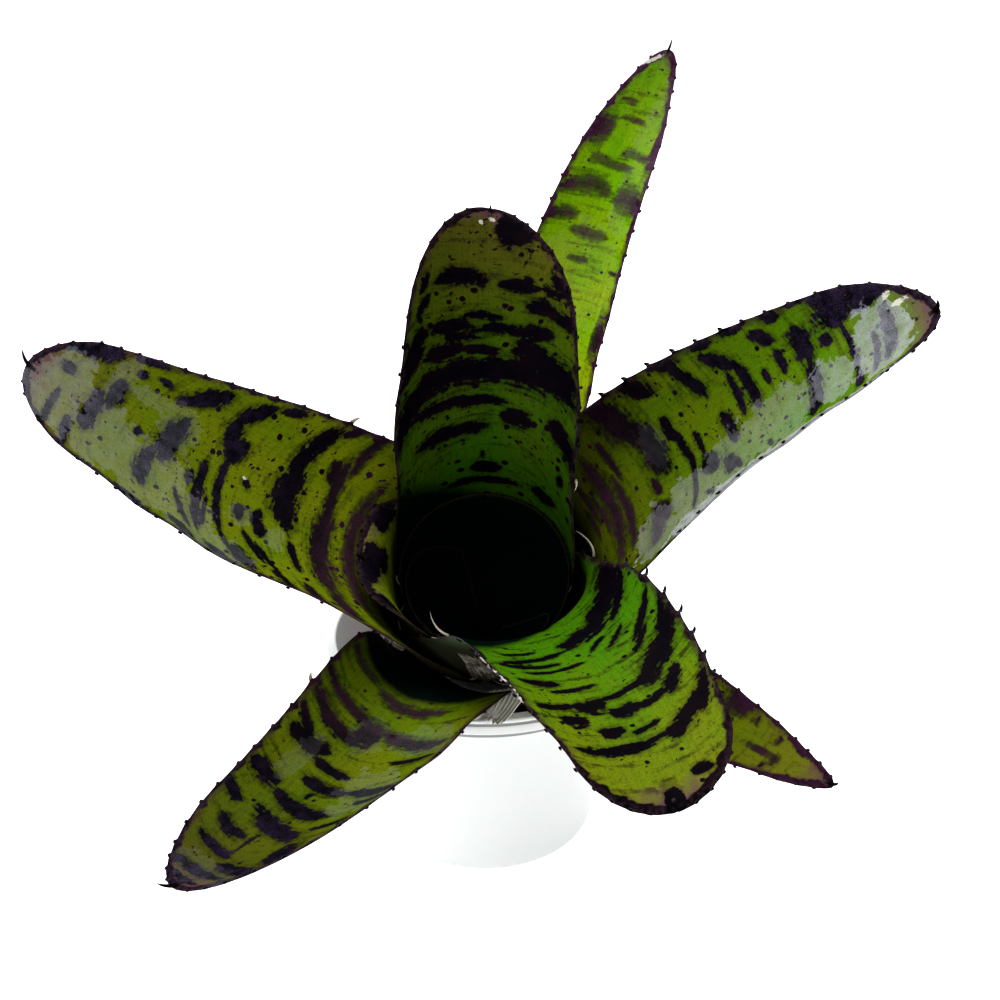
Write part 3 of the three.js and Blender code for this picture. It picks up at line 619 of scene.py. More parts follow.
# ---- Strap leaves ----
# Eight living leaves, grown as one piece each: a sheath that clasps the stem, a channelled strap
# blade, hooked spines on both margins and a curled spine at the apex. The skin is waxy and banded,
# and thin white scales leave a dull film on parts of it.
ROW_STEP = 0.6
END_ROWS = 44
COLUMNS = 48
MARGIN_CROWDING = 0.75
MARGIN_ROUND = 1.2
MARGIN_THINNING = 0.35
MIDRIB_GROOVE = 0.35
MIDRIB_WIDTH = 1.6
SCALLOP = 0.6
SCALLOP_REACH = 2.5
FREE_WITHIN = 15
WAVE_HEIGHT = 0.35
WAVE_LENGTHS = (5.5, 17)
SPINE_SPACING = (10, 5.5)
SPINE_SPACING_AT_END = 4.6
SPINE_FIRST = 30
SPINE_SCATTER = 0.15
LONG_SPINE_EVERY = 4
LONG_SPINE_GAIN = 3.4
SPINE_LOSS = 0.6
SPINE_SEED = 7
LEHMER_FACTOR, LEHMER_PRIME = 16807, 2147483647
SPINE_ROWS = 7
SPINE_SIDES = 6
SPINE_RADIUS = 0.5
SPINE_POINT = 0.03
SPINE_BREADTHS = (1.3, 0.7)
SPINE_SINK = 0.25
SPINE_RISE, LONG_SPINE_RISE = 0.15, 0.45
SPINE_BLOTCH = 4
SPINE_HOOK = np.radians((18, 60))
APEX_SPINE_SINK = 2.5
APEX_SPINE_RADIUS = 0.7
APEX_SPINE_CURL = np.radians((-8, 62))
LEAF_GREEN = "#5b9a02"
LEAF_YELLOW = "#8f9a08"
LEAF_OLIVE = "#48530a"
HALO_OLIVE = "#2a3204"
STREAK_BROWN = "#2a1b0c"
# deeper green, partly the leaf's own and partly painted shade
DEEP_GREEN_AND_SHADE = "#0a3004"
# painted shade of the tank, dark green and near black
TANK_SHADE_GREEN = "#03130a"
TANK_SHADE_BLACK = "#03110b"
BAND_NAVY = "#02020c"
BAND_MAROON = "#170610"
BAND_FADED = "#5e2c54"
BAND_SLATE = "#3a2f4c"
MARGIN_MAUVE = "#5a4450"
BLUSH_BROWN = "#8a5f4c"
RIM_BROWN = "#3c222a"
TIP_MAUVE = "#6e4858"
FILM_GREY = "#aaadb2"
DRY_WHITE = "#d6d3ca"
SPINE_DARK = "#120a0d"
SPINE_PALE = "#b9b2a0"
RIM_TAN = "#3f3220"
SHEATH_BROWN = "#20190f"
DOT_PITCH = 3.6
FLAKE_SIZE = 3.2
# where a colour starts and where it is full: above the tank, from the tip, from the margin, along
# DUSK and NIGHT: where the painted shade of the tank starts and where it is full
DUSK, NIGHT = (4.5, -3), (0, -14)
BLUSH, TIP = (34, 6), (5, -2)
RIM, SEAM = (2.2, 0.2), (0.6, 0.3)
OLD_SHEATH, DRY_SHEATH = (82, 50), (62, 52)

# marks, dark bands and blots: (across, along) of one end, (across, along) of the other, the rise of its
# middle above the straight line between them, and its half width. pale, dry white tissue: the same.
# film, dull patches: across and along of the middle, half length across and along, strength. All in
# millimetres on the upper face; across is positive towards the left seen from the tip. arch: how far
# the fine streaks drop towards the margins, at 10 mm off the midrib. deep: where the painted shade of the
# tank begins on the leaf, at the midrib, its rise and drop across, and how sharp its edge is. shade: 0
# bright to 1 dark green, partly the leaf's deeper green and partly painted shade, stronger towards the
# base. Values at the base and at the tip: warmth, 0 green to 1 yellow; light, a factor on the flesh's
# colour, partly its own depth of colour and partly painted light and shade, brightest where light shines
# through leaf_top; fade, above 0 the bands soften to purple-brown and below 0 they take a slate bloom.
# streaks and flecks: how many, 0 to 1. rim: width of the dark margin at the tip. blush: brown-pink there,
# 0 to 1.
LEAVES = [
    dict(name="leaf_low_right", rank=1, azimuth=323.7, wrap=28, length=114.5, width=32.5, bendStart=21,
         bendLength=37, spread=74, droop=4, swing=-1, twist=-8, channelNear=34, channelFar=42, taper=0.61,
         endLength=80, spineLength=0.8, apex=2.5, arch=0.6, deep=(28, 0, 0, 1), shade=0.15,
         warmth=(1.0, 1.1), light=(0.9, 0.9), streaks=0.7, flecks=0.4, fade=(0.35, 0.35), rim=0.8,
         blush=0.8,
         marks=[(4, 80, 14, 82, 1, 4.5), (-7, 96, 1, 99, 0.5, 0.9), (-2.4, 94, 0.6, 94, 0, 4),
                (2, 96, 6, 97, 0, 0.8), (-9, 70, 12, 72, 1, 2.5), (-12, 60, 8, 62, 1, 2.6),
                (-8, 50, 12, 50, 1, 2.4), (-12, 41, 6, 42, 1, 2), (5, 89, 9, 88, 0, 0.8),
                (3, 104, 6, 101, 0, 0.9)],
         pale=[], film=[]),
    dict(name="leaf_top", rank=2, azimuth=76.2, wrap=60, length=184.5, width=34, bendStart=25,
         bendLength=31, spread=53.5, droop=1, swing=-7.7, twist=2, channelNear=31.5, channelFar=20,
         taper=0.56, endLength=51, spineLength=0.6, apex=3.6, arch=1.0, deep=(30, 0, 0, 1), shade=0.0,
         warmth=(1.15, 0.2), light=(3.1, 0.92), streaks=0.65, flecks=0.5, fade=(0.55, 0.45), rim=0.5,
         blush=0.3,
         marks=[(4.5, 157, 12, 155, 0, 4.4), (-13, 153, -9.5, 155, 0, 7), (-12, 148, 0, 150.5, 1, 1.1),
                (-7, 145, 9, 147, 0.8, 1.2), (-2, 138.5, 15, 135, 2.2, 2.5), (-9, 134, 2, 138, 0, 0.9),
                (-15, 134, -4, 138, 0, 3.6), (5, 129, 16, 126, 0.8, 2), (-7, 123.5, 6, 124.5, 0.4, 1.5),
                (-3, 116, 4, 116, 0.3, 0.9), (-15, 112.5, -11, 113.5, 0, 0.7), (-16.5, 92, -12, 93, 0, 6),
                (-16.5, 127, -13.5, 128, 0, 5), (1, 166, 7, 166, 0.4, 0.9), (-5, 160, 4, 161, 0.6, 0.8),
                (-13, 72, -8, 73, 0, 3), (-5, 84, 13, 84, 1, 2), (-10, 62, 14, 62, 1, 3),
                (1, 100, 15, 99, 1, 2), (-14, 48, 14, 48, 1, 3), (-6, 38, 14, 38, 1, 2)],
         pale=[(0.5, 182.5, 5.5, 178, 0, 0.7)],
         film=[(-9, 150, 6, 30, 0.09), (-2, 108, 14, 20, 0.07)]),
    dict(name="leaf_front_left", rank=3, azimuth=244, wrap=38, length=128.6, width=48, bendStart=35.5,
         bendLength=18.5, spread=78.5, droop=9, swing=-12, twist=34.7, channelNear=40, channelFar=40.5,
         taper=0.77, endLength=29, spineLength=0.7, apex=4, arch=1.4, deep=(53, 0, 1.6, 3), shade=0.3,
         warmth=(0.7, 0.95), light=(1.55, 0.22), streaks=0.8, flecks=0.5, fade=(1.3, -0.9), rim=0.5,
         blush=0.3,
         marks=[(0, 118, 18, 117, 0.8, 1.9), (-12, 121, 10, 121.5, 1, 1.2),
                (-15, 112.5, 2, 115.5, 0.6, 1.2), (11, 110, 19, 111, 0, 4.5), (-15, 106, -2, 109, 1, 1.6),
                (-1.6, 109.5, 0.4, 109.5, 0, 4), (-10, 99.5, 13, 104, 1.8, 2.3),
                (11, 101, 21, 95, 0.6, 0.8), (-10, 93.5, 12, 96, 1.6, 2), (-2, 91.3, 0.2, 91.3, 0, 1.1),
                (-22, 89, -10, 91.5, 0.6, 2.4), (-8, 86.5, 9, 87.5, 1.2, 1.6), (-10, 80.5, 5, 83, 0.6, 1.3),
                (-21, 75.5, -6, 78, 1, 2.5), (8, 87, 23, 83, 1, 1.6), (-24, 61.5, -1, 72.5, 2.4, 2),
                (-6, 68, 2, 68.5, 0, 4.6), (0, 65.5, 22, 65, 2.6, 2.3), (-25, 55.5, -2, 65, 2, 1.7),
                (-9, 54, 14, 53.5, 3.2, 1.9), (-24, 47.5, -8, 53.5, 0.6, 0.9), (-23, 68, -13, 76, 1, 1.3),
                (-23, 96, -13, 101, 0.8, 1.2), (10, 75, 22, 70, 1, 0.9), (-21, 113, -16, 121, 0, 1.5),
                (14, 90, 23, 86, 1, 1), (-12, 124.5, 6, 125.5, 0.6, 0.9)],
         pale=[],
         film=[(-2, 68, 5, 7, 0.07), (14, 87, 9, 9, 0.1), (14, 66, 9, 6, 0.1), (-12.5, 83, 3, 8, 0.08),
               (0, 122, 14, 4, 0.07)]),
    dict(name="leaf_right", rank=5, azimuth=17.5, wrap=95, length=163.2, width=64.4, bendStart=35,
         bendLength=37.3, spread=53, droop=-15, swing=-7.8, twist=-20.2, channelNear=43, channelFar=32,
         taper=0.58, endLength=24.5, spineLength=2.1, apex=3, arch=0.2, deep=(46, 0.1, 0, 1), shade=0.1,
         warmth=(1.3, 0.1), light=(0.3, 0.86), streaks=0.6, flecks=0.7, fade=(1.2, -1.2), rim=1, blush=0.8,
         marks=[(13, 148, 27, 152, 0, 8), (12.5, 139, 27, 142, 0, 5.6), (-16, 140, -5, 139.5, 0, 1.2),
                (-8, 139, 14, 139.5, 0.4, 1), (-10, 148, 13, 151, 0.6, 2), (-13, 144, 7, 146, 0.5, 1.1),
                (8.5, 134.5, 13.5, 134.5, 0, 1.8), (8, 128.3, 20, 128.5, 0, 3),
                (-15, 125, 9, 127.5, 0.8, 2.2), (8, 121, 17, 121.5, 0.2, 1.3),
                (18, 121.5, 25, 118.5, 0.2, 2), (23, 125.5, 28, 125, 0, 2.6), (8, 116, 14, 116, 0, 0.9),
                (3, 110.5, 21, 110, 0.7, 1.6), (18, 109.5, 27, 103.5, 0.3, 2.1), (3, 106, 19, 107, 0.3, 1),
                (27, 106, 31, 106, 0, 3), (-3, 101, 10, 100.5, 0.3, 1.7), (-15, 98, -5, 98, 0, 1.9),
                (15, 99, 29, 94, 0.8, 1.9), (-9, 92, 0, 92, 0, 3), (0, 91, 9, 91, 0, 1),
                (1, 86, 13, 86.3, 0.2, 1), (9, 85, 18, 85, 0, 1.8), (1, 78.5, 22, 76.5, 0.5, 3.6),
                (15, 74, 33, 70, 1, 4.2), (-4, 75, 3, 74, 0, 1.3), (-15, 75, -6, 75.3, 0, 2.1),
                (-23, 70, -5, 73, 0.6, 2.4), (24, 86, 33, 80, 0, 2.8), (8, 66, 23, 65.5, 0.3, 1),
                (-16, 63, 11, 64, 0.6, 1.5), (-17, 58.3, 22, 60, 0.5, 2.3), (-5, 56, 11, 55.5, 0, 0.8),
                (1, 53.4, 17, 54, 0, 0.9), (-3, 51, 9, 51, 0, 0.9), (-21, 84, 8, 87.5, 0.6, 0.9),
                (-16, 112, -10, 110.5, 0, 0.8), (-16, 101.5, -9, 100, 0, 0.9), (-20, 92, -14, 89, 0, 1),
                (27, 96, 32, 93, 0, 3), (26, 115, 30, 114, 0, 3), (24, 134, 28, 133, 0, 3)],
         pale=[(8.5, 155, 11, 155, 0, 2.8), (12, 152, 15, 153.5, 0, 1)],
         film=[(0, 148, 14, 8.5, 0.6), (-5, 132, 11, 6, 0.42), (-7, 115, 12, 12, 0.26),
               (-8, 100, 10, 13, 0.24), (-12, 85, 10, 9, 0.3), (-18, 72, 12, 7, 0.3), (11, 79, 9, 4, 0.07),
               (-26, 112, 9.5, 46, 0.8)]),
    dict(name="leaf_left", rank=6, azimuth=170.8, wrap=95, length=152.6, width=66.3, bendStart=35.8,
         bendLength=23.6, spread=69.5, droop=-15.3, swing=-4.6, twist=16.2, channelNear=46, channelFar=55,
         taper=0.53, endLength=18, spineLength=1.0, apex=4.5, arch=1.1, deep=(46, 0, 0, 1), shade=0.12,
         warmth=(1.0, 0.9), light=(0.92, 0.6), streaks=0.6, flecks=0.8, fade=(1.3, -1.6), rim=0.7,
         blush=0.6,
         marks=[(-23, 134, -14, 143, 0.5, 4.5), (-10.5, 143, -5.5, 143, 0, 2.4),
                (-15, 128.5, -3, 129.5, 0, 2.4), (-9, 131.8, 10, 132.5, 1, 2.5),
                (-1, 142.5, 20, 142, 0.6, 1.1), (7, 137, 21, 135.5, 0.5, 1.5),
                (-21, 124.5, -17.5, 125.5, 0, 1.5), (-4, 119.5, -0.5, 119.5, 0, 1.5),
                (-1, 113, 18, 113, 2, 2.4), (-15, 108.3, 4, 110, 1.5, 3), (-28, 100, -17, 112, 0, 2.7),
                (0, 102, 7, 102, 0, 1.4), (-6, 99, 24, 95.5, 1.5, 1.5), (10, 105, 25, 97.5, 0.4, 1),
                (7, 96, 22, 95, 0, 0.8), (-22, 95, -8, 94, 0.7, 2.6), (-17, 90.8, -7, 93.2, 0, 2.1),
                (-10, 94, 21, 89, 2, 1.2), (-30, 87, -20, 95.5, 0.5, 2.4), (-32, 79, -28, 84, 0, 2),
                (3, 81, 10, 81, 0.3, 1.7), (7, 80, 14, 79, 0, 1.7), (4, 86.5, 11, 86, 0, 1.5),
                (21, 84.5, 32, 79, 0.5, 2.6), (-17, 73, 7, 72, 3.4, 3.8), (-32, 66, -12, 76.5, 1.6, 2.5),
                (9, 71, 22, 65.5, 0.4, 1.2), (-25, 61, 2, 62.5, 1, 1.7), (-7, 62.3, 26, 56, 2.8, 3.2),
                (-22, 64, -14, 65, 0, 2), (-34, 56, -17, 60, 0.6, 1.2), (-20, 52, 29, 48, 4, 2),
                (26, 64, 34, 59.5, 0, 1.6), (23, 56.5, 34, 53.5, 0.3, 1.6), (26, 73, 34, 66, 0, 1.4),
                (13, 84, 25, 75.5, 0.3, 1), (16, 80, 27, 71, 0.3, 0.9), (24, 117, 29, 112, 0, 3),
                (-22, 118, -19.5, 118, 0, 2.2), (27, 92, 33, 86, 0, 2), (24, 103, 30, 97, 0, 2),
                (-34, 60, -28, 66, 0, 1.2), (18, 90, 30, 82, 0.3, 0.9), (-5, 88.5, -1, 86, 0, 1),
                (-26, 120, -22, 128, 0, 1.6)], pale=[(-6, 88, -3.5, 88, 0, 0.8)],
         film=[(2, 143, 19, 9, 0.3), (8, 127, 16, 8, 0.22), (12, 112, 15, 12, 0.2), (-9, 110, 8, 6, 0.12),
               (22, 99, 11, 8, 0.2), (27, 87, 7, 8, 0.2), (8, 86, 4, 4, 0.12), (-17, 128, 7, 3, 0.15),
               (-10, 130, 10, 3, 0.18), (12, 75, 6, 3, 0.12), (-14, 120, 3, 8, 0.14)]),
    dict(name="leaf_front_right", rank=7, azimuth=299.7, wrap=95, length=138.3, width=54, bendStart=41.6,
         bendLength=31.3, spread=48, droop=31.5, swing=-5.8, twist=-11, channelNear=35, channelFar=43.5,
         taper=0.63, endLength=15, spineLength=3.0, apex=1.5, arch=0.8, deep=(60, -0.6, 0, 1.8), shade=0.02,
         warmth=(-1.2, 0.95), light=(0.45, 0.82), streaks=1.0, flecks=0.6, fade=(0, 0), rim=1.0, blush=0.3,
         marks=[(-2.5, 136.5, 3, 136.5, 0, 4), (-18, 132.5, -9, 134.5, 0, 1.8), (6, 131, 12, 131.5, 0, 1.4),
                (-18, 118.3, 6, 119, 1.8, 1.5), (5, 120, 19, 112.5, 1, 2.1), (15, 118, 22, 108, 0.5, 1.6),
                (6, 121.3, 10, 121, 0, 0.8), (-9.5, 114, -2.5, 114.3, 0.4, 1.9),
                (-2, 116, 6, 115.2, 0.3, 1), (-17, 107.5, -9.5, 109.5, 0.5, 1.8),
                (-4.5, 108.3, 4.5, 108.3, 0.5, 1.9), (3, 109.3, 11, 107.5, 0.3, 1.2),
                (10.5, 108, 17.5, 103.5, 0.4, 2.1), (-21, 102, -11, 103.6, 0.5, 1.3),
                (-12, 103.7, -2.5, 104.3, 0.5, 2.1), (-5, 103.2, 10, 101, 0.5, 1), (6, 103, 27, 85, 2, 3),
                (-21, 91, -10, 94, 0.6, 1.5), (-15, 97, -2, 97, 0.4, 0.8), (10, 92.5, 18, 86, 0.3, 0.9),
                (12, 88.5, 25, 77, 0.4, 1.1), (-24, 82.5, -6, 84.5, 1, 0.9), (-22, 82, -2, 79, 0.4, 1.1),
                (-4, 76.5, 13, 72, 1, 2.6), (7, 73, 19, 65, 0.6, 3.6), (15, 69, 28, 57, 0.6, 4.5),
                (12, 77, 27, 64, 0.5, 1.2), (2, 84, 8, 80, 0, 0.8), (18, 93, 27, 80, 0.4, 1.1),
                (-12, 88, 0, 86.5, 0.4, 0.7), (-18, 87, -9, 88, 0.3, 0.7), (6, 86, 14, 80, 0.2, 0.7),
                (-20, 77, -9, 76, 0.3, 0.8), (3, 79, 12, 75.5, 0.2, 0.9), (20, 126, 24, 112, 0, 1.6),
                (-15, 111.5, -12, 111.5, 0, 0.7), (-8, 107, -6, 108, 0, 0.8)],
         pale=[(-28, 84, -25.8, 84, 0, 5), (-28, 92, -24.9, 92, 0, 5), (-28, 100, -23.7, 100, 0, 5)],
         film=[]),
    dict(name="leaf_short", rank=8, azimuth=183, wrap=80, length=54, width=50, bendStart=40, bendLength=14,
         spread=60, droop=20, swing=0, twist=0, channelNear=28, channelFar=28, taper=0.9, endLength=15,
         spineLength=1.2, apex=1.5, arch=0.4, deep=(32, -0.5, 0, 1), shade=0.25, warmth=(0.9, 0.9),
         light=(0.9, 0.9), streaks=0.6, flecks=0.3, fade=(-0.2, -0.2), rim=0.3, blush=0.2,
         marks=[(-6, 50, 9, 51, 0, 3.6), (-6, 46, 3, 46, -0.5, 3.4), (-20, 49, -9, 48.5, 0, 1.8),
                (12, 49.5, 22, 46, 0, 1.2)],
         pale=[], film=[]),
    dict(name="leaf_back", rank=9, azimuth=89.3, wrap=90, length=128.8, width=58.7, bendStart=47,
         bendLength=31, spread=37, droop=33, swing=-0.4, twist=14.7, channelNear=30.5, channelFar=29,
         taper=0.75, endLength=44, spineLength=1.3, apex=1.2, arch=1.2, deep=(40, 0.45, -0.4, 1.2),
         shade=0.6, warmth=(-0.6, 1.2), light=(1.3, 0.34), streaks=1.0, flecks=0.9, fade=(0, 0), rim=0.6,
         blush=0.4,
         marks=[(-13.5, 121.5, -1.5, 122.5, 0, 5), (-8, 119, -3, 119, 0, 2),
                (-1, 106.5, 17, 104.5, 2.2, 2.4), (-15, 104.3, -2.5, 106, 0.5, 1.9),
                (-13, 107.3, -10, 107.8, 0, 0.9), (-26, 99.5, -17.5, 108, 0.4, 1.6),
                (-22, 101, -15, 104.5, 0.2, 1.1), (-20.5, 97.5, -10.5, 99.5, 0.9, 2.2),
                (-28, 91.5, -18, 97, 0.6, 1.6), (-5, 97, 7, 97.3, 0.4, 1.3),
                (17.5, 100.5, 23, 95.5, 0.2, 1.3), (-20, 91.2, -8, 92.5, 0.5, 2),
                (-11, 92, 2, 94, 0.8, 1.5), (4, 94.2, 18, 91.3, 1, 2), (-1, 91.8, 14, 90.5, 0.3, 1.1),
                (18, 92, 28, 81.5, 0.8, 2), (-5, 87, 7, 88, 0.3, 1.3), (6, 88.3, 20, 84.5, 0.6, 2.1),
                (-19, 85, -7, 88.5, 0.6, 2.6), (-29, 76, -9, 86.5, 1.5, 3.2),
                (-30, 72.5, 30, 70.5, 11, 3.6), (13, 81, 30, 65, 2, 2.8), (-7, 73, 23, 70, 2.2, 1.6),
                (-14, 68.3, -3.5, 69.7, 0.3, 2.2), (-30, 62, -18, 69.5, 0.8, 2.3),
                (-2, 66.3, 22, 63, 1, 1.9), (-25.5, 56.5, -22, 56.5, 0, 1.7), (-0.5, 57, 2.2, 57, 0, 1.3),
                (-5, 52.3, 5, 52.3, 0, 2.3), (-23, 46.3, -13.5, 47.3, 0, 2.4),
                (-11, 46.3, 13, 46, 1.2, 1.6), (-11, 112, -10, 112, 0, 1), (19, 88, 29, 76, 0.5, 1.4),
                (-27, 103, -22, 107, 0, 0.9), (18, 106, 22, 101, 0, 1.2)],
         pale=[(-11, 125.6, -8, 126.4, 0, 0.6), (-2, 124.8, 0.6, 125.6, 0, 0.8),
               (1.6, 123.6, 3.4, 124.2, 0, 0.6)], film=[]),
]


def margin_spines(leaf, margin):
    """Places of the margin spines as arrays of arc length, side (-1 or 1) and length. They stand closer
    together and get shorter towards the tip, with a seeded scatter, and go on round the rounded end at
    an even spacing along the margin. On the sheath every fourth one is long."""
    state = SPINE_SEED + 101 * leaf["rank"]
    found = []
    outline = np.concatenate([[0], np.cumsum(np.hypot(np.diff(margin), np.diff(half_width(leaf, margin))))])
    for side in (-1, 1):
        state = state * LEHMER_FACTOR % LEHMER_PRIME
        along = min(SPINE_FIRST, 0.6 * leaf["length"]) + SPINE_SPACING[0] * state / LEHMER_PRIME
        while along < leaf["length"] - 0.15 * leaf["endLength"]:
            scatter = []
            for _ in range(2):
                state = state * LEHMER_FACTOR % LEHMER_PRIME
                scatter.append(1 + SPINE_SCATTER * (2 * state / LEHMER_PRIME - 1))
            on_sheath = 1 - np.clip((along - SPINE_FIRST) / SHEATH_LENGTH, 0, 1)
            gain = 1 - SPINE_LOSS * smooth((along / leaf["length"] - 0.55) / 0.35)
            if len(found) % LONG_SPINE_EVERY == 0 and on_sheath > 0.3:
                gain = LONG_SPINE_GAIN
            found.append((along, side, leaf["spineLength"] * gain * scatter[0]))
            along += lerp(*SPINE_SPACING, along / leaf["length"]) * scatter[1]
        reached = np.interp(found[-1][0], margin, outline)
        for place in np.arange(reached + SPINE_SPACING_AT_END, outline[-1] - 3, SPINE_SPACING_AT_END):
            found.append((np.interp(place, outline, margin), side, (1 - SPINE_LOSS) * leaf["spineLength"]))
    return (np.array(column) for column in zip(*found))


def tooth_height(lengths):
    """How far the margin stands out under a spine: more under a longer one."""
    return SCALLOP * np.clip(lengths / 2, 0.5, 1.3)


def scallops(along, places, lengths):
    """How far the margin stands out between spines, in millimetres: up steeply at each spine on the
    side of the base, and back in a hollow towards the tip."""
    ahead = along[:, None] - places
    rise = np.where(ahead < 0, smooth(1 + ahead / 0.9), np.exp(-np.maximum(ahead, 0) / 1.7))
    return (tooth_height(lengths) * rise).max(axis=1)


def stroke_field(across, along, strokes):
    """How far inside a stroke a point lies: 1 on its middle line, 0 on its outline, negative outside; the
    largest over all the strokes. The middle line is a parabola from one end to the other, and the half
    width falls to nothing at both ends."""
    field = np.full(across.shape, -1.5)
    for across_0, along_0, across_1, along_1, rise, reach in strokes:
        share = (across - across_0) / (across_1 - across_0)
        middle = lerp(along_0, along_1, share) + rise * (1 - (2 * share - 1) ** 2)
        steep = np.hypot(1, (along_1 - along_0) / (across_1 - across_0))
        apart = np.abs(along - middle) / (reach * steep)
        field = np.maximum(field, 1 - np.abs(2 * share - 1) ** 4 - apart)
    return field


def patch_field(across, along, patches):
    """How far inside an oval patch a point lies, 1 in its middle and 0 on its outline, for the patch that
    it is deepest in, and the strength of that patch."""
    field, strength = np.full(across.shape, -1.5), np.zeros(across.shape)
    for middle_across, middle_along, half_across, half_along, strong in patches:
        reach = 1 - np.hypot((across - middle_across) / half_across, (along - middle_along) / half_along)
        strength = np.where(reach > field, strong, strength)
        field = np.maximum(field, reach)
    return field, strength


def hooks(roots, out, back, up, lengths, radius, angles, rises):
    """Curved thorns: each is a row of rings along an arc that starts outward and turns back by its
    angles, and thins to a point. roots, out, back and up are one vector a thorn; lengths and rises, how
    far its point stands up as a share of the length, are one value a thorn."""
    share = np.linspace(0, 1, SPINE_ROWS)
    heading = lerp(angles[0], angles[1], share)
    step = np.diff(share, prepend=0)
    x, y = np.cumsum(np.cos(heading) * step), np.cumsum(np.sin(heading) * step)
    rise = (rises[:, None] * share ** 2)[..., None]
    line = roots[:, None] + lengths[:, None, None] * (
        out[:, None] * x[:, None] + back[:, None] * y[:, None] + up[:, None] * rise)
    thick = (radius * (1 - share) ** 0.7 + SPINE_POINT)[:, None, None]
    corner = np.arange(SPINE_SIDES) * 2 * np.pi / SPINE_SIDES
    across = out[:, None] * -np.sin(heading)[:, None] + back[:, None] * np.cos(heading)[:, None]
    flat = (SPINE_BREADTHS[0] * np.cos(corner))[:, None] * across[:, :, None]
    tall = (SPINE_BREADTHS[1] * np.sin(corner))[:, None] * up[:, None, None]
    return line[:, :, None] + thick * (flat + tall)


def unit(vectors):
    """Vectors of length one."""
    return vectors / np.linalg.norm(vectors, axis=-1, keepdims=True)


def by_side(values):
    """Two rows of values, one for each margin, spread over the columns on its side of the midrib."""
    return np.repeat(np.stack(list(values), axis=1), COLUMNS // 2, axis=1)


def flesh_rings(leaf, along, places, sides, lengths):
    """The skin of a leaf as rings, each the upper face and then the underside of one row, and the arc
    length, the distance off the midrib and the distance to the margin on one face. Columns crowd towards
    the margins, which stand out in scallops under the spines, wave past the bend and thin to a rounded
    edge; the midrib is a shallow groove."""
    stretch = np.linspace(-1, 1, COLUMNS)
    share = lerp(stretch, np.sin(stretch * np.pi / 2), MARGIN_CROWDING)
    half = half_width(leaf, along)
    slope = np.gradient(half, along)
    normal = np.stack([-slope, np.ones_like(slope)]) / np.hypot(slope, 1)
    out = by_side(scallops(along, places[sides == side], lengths[sides == side]) for side in (-1, 1))
    out = out * np.clip(1 - half[:, None] * (1 - np.abs(share)) / SCALLOP_REACH, 0, 1) ** 1.5
    s = along[:, None] + out * normal[0][:, None]
    u = half[:, None] * share + np.sign(share) * out * normal[1][:, None]
    to_edge = half[:, None] * (1 - np.abs(share)) * normal[1][:, None]
    edge = np.sqrt(1 - (1 - np.clip(to_edge / MARGIN_ROUND, 0, 1)) ** 2)
    half_thick = LEAF_THICKNESS / 2 * (1 - MARGIN_THINNING * share ** 2) * edge
    free = smooth((s - leaf["bendStart"]) / FREE_WITHIN)
    wave = WAVE_HEIGHT * free * np.abs(share) ** 3 * np.sin(
        s / WAVE_LENGTHS[0] + 2 * np.sin(s / WAVE_LENGTHS[1] + leaf["rank"]))
    groove = MIDRIB_GROOVE * free * np.exp(-(u / MIDRIB_WIDTH) ** 2)
    faces = [leaf_points(leaf, s, u, wave + groove + side * half_thick) for side in (-1, 1)]
    return np.concatenate([faces[0], faces[1][:, ::-1]], axis=1), s, u, to_edge


def thorn_rings(leaf, places, sides, lengths):
    """Rings of the margin spines and of the spine at the apex. A margin spine stands on its scallop
    square to the margin and hooks towards the base, and a long one also rises off the face. The apex
    spine carries the midrib on and curls up."""
    def on_margin(s, inset=1, above=0):
        """Points beside the spines, at arc length s, a share of the half width out, above the face."""
        return leaf_points(leaf, s, sides * half_width(leaf, s) * inset, 0 * s - above)

    centre = on_margin(places)
    nearby = np.where(places > leaf["length"] - 1, -0.2, 0.2)
    ahead = unit((on_margin(places + nearby) - centre) * np.sign(nearby)[:, None])
    upper = unit(on_margin(places, above=1) - centre)
    outer = unit(np.cross(ahead, upper))
    outer *= np.sign(((centre - on_margin(places - 0.6, 0.9)) * outer).sum(axis=1))[:, None]
    roots = centre + outer * (tooth_height(lengths) - SPINE_SINK)[:, None]
    rises = SPINE_RISE + LONG_SPINE_RISE * (lengths > 2 * leaf["spineLength"])
    margin = hooks(roots, outer, -ahead, upper, np.maximum(0.8 * lengths - 0.3, 0.5),
                   SPINE_RADIUS, SPINE_HOOK, rises)
    root, tip, above = (
        leaf_points(leaf, leaf["length"] - np.array([sunk]), np.zeros(1), np.array([offset]))
        for sunk, offset in ((APEX_SPINE_SINK, 0), (0, 0), (APEX_SPINE_SINK, -1)))
    forward, upward = unit(tip - root), unit(above - root)
    apex = hooks(root, forward, upward, np.cross(forward, upward),
                 np.array([leaf["apex"] + APEX_SPINE_SINK]), APEX_SPINE_RADIUS, APEX_SPINE_CURL, np.zeros(1))
    return margin, apex


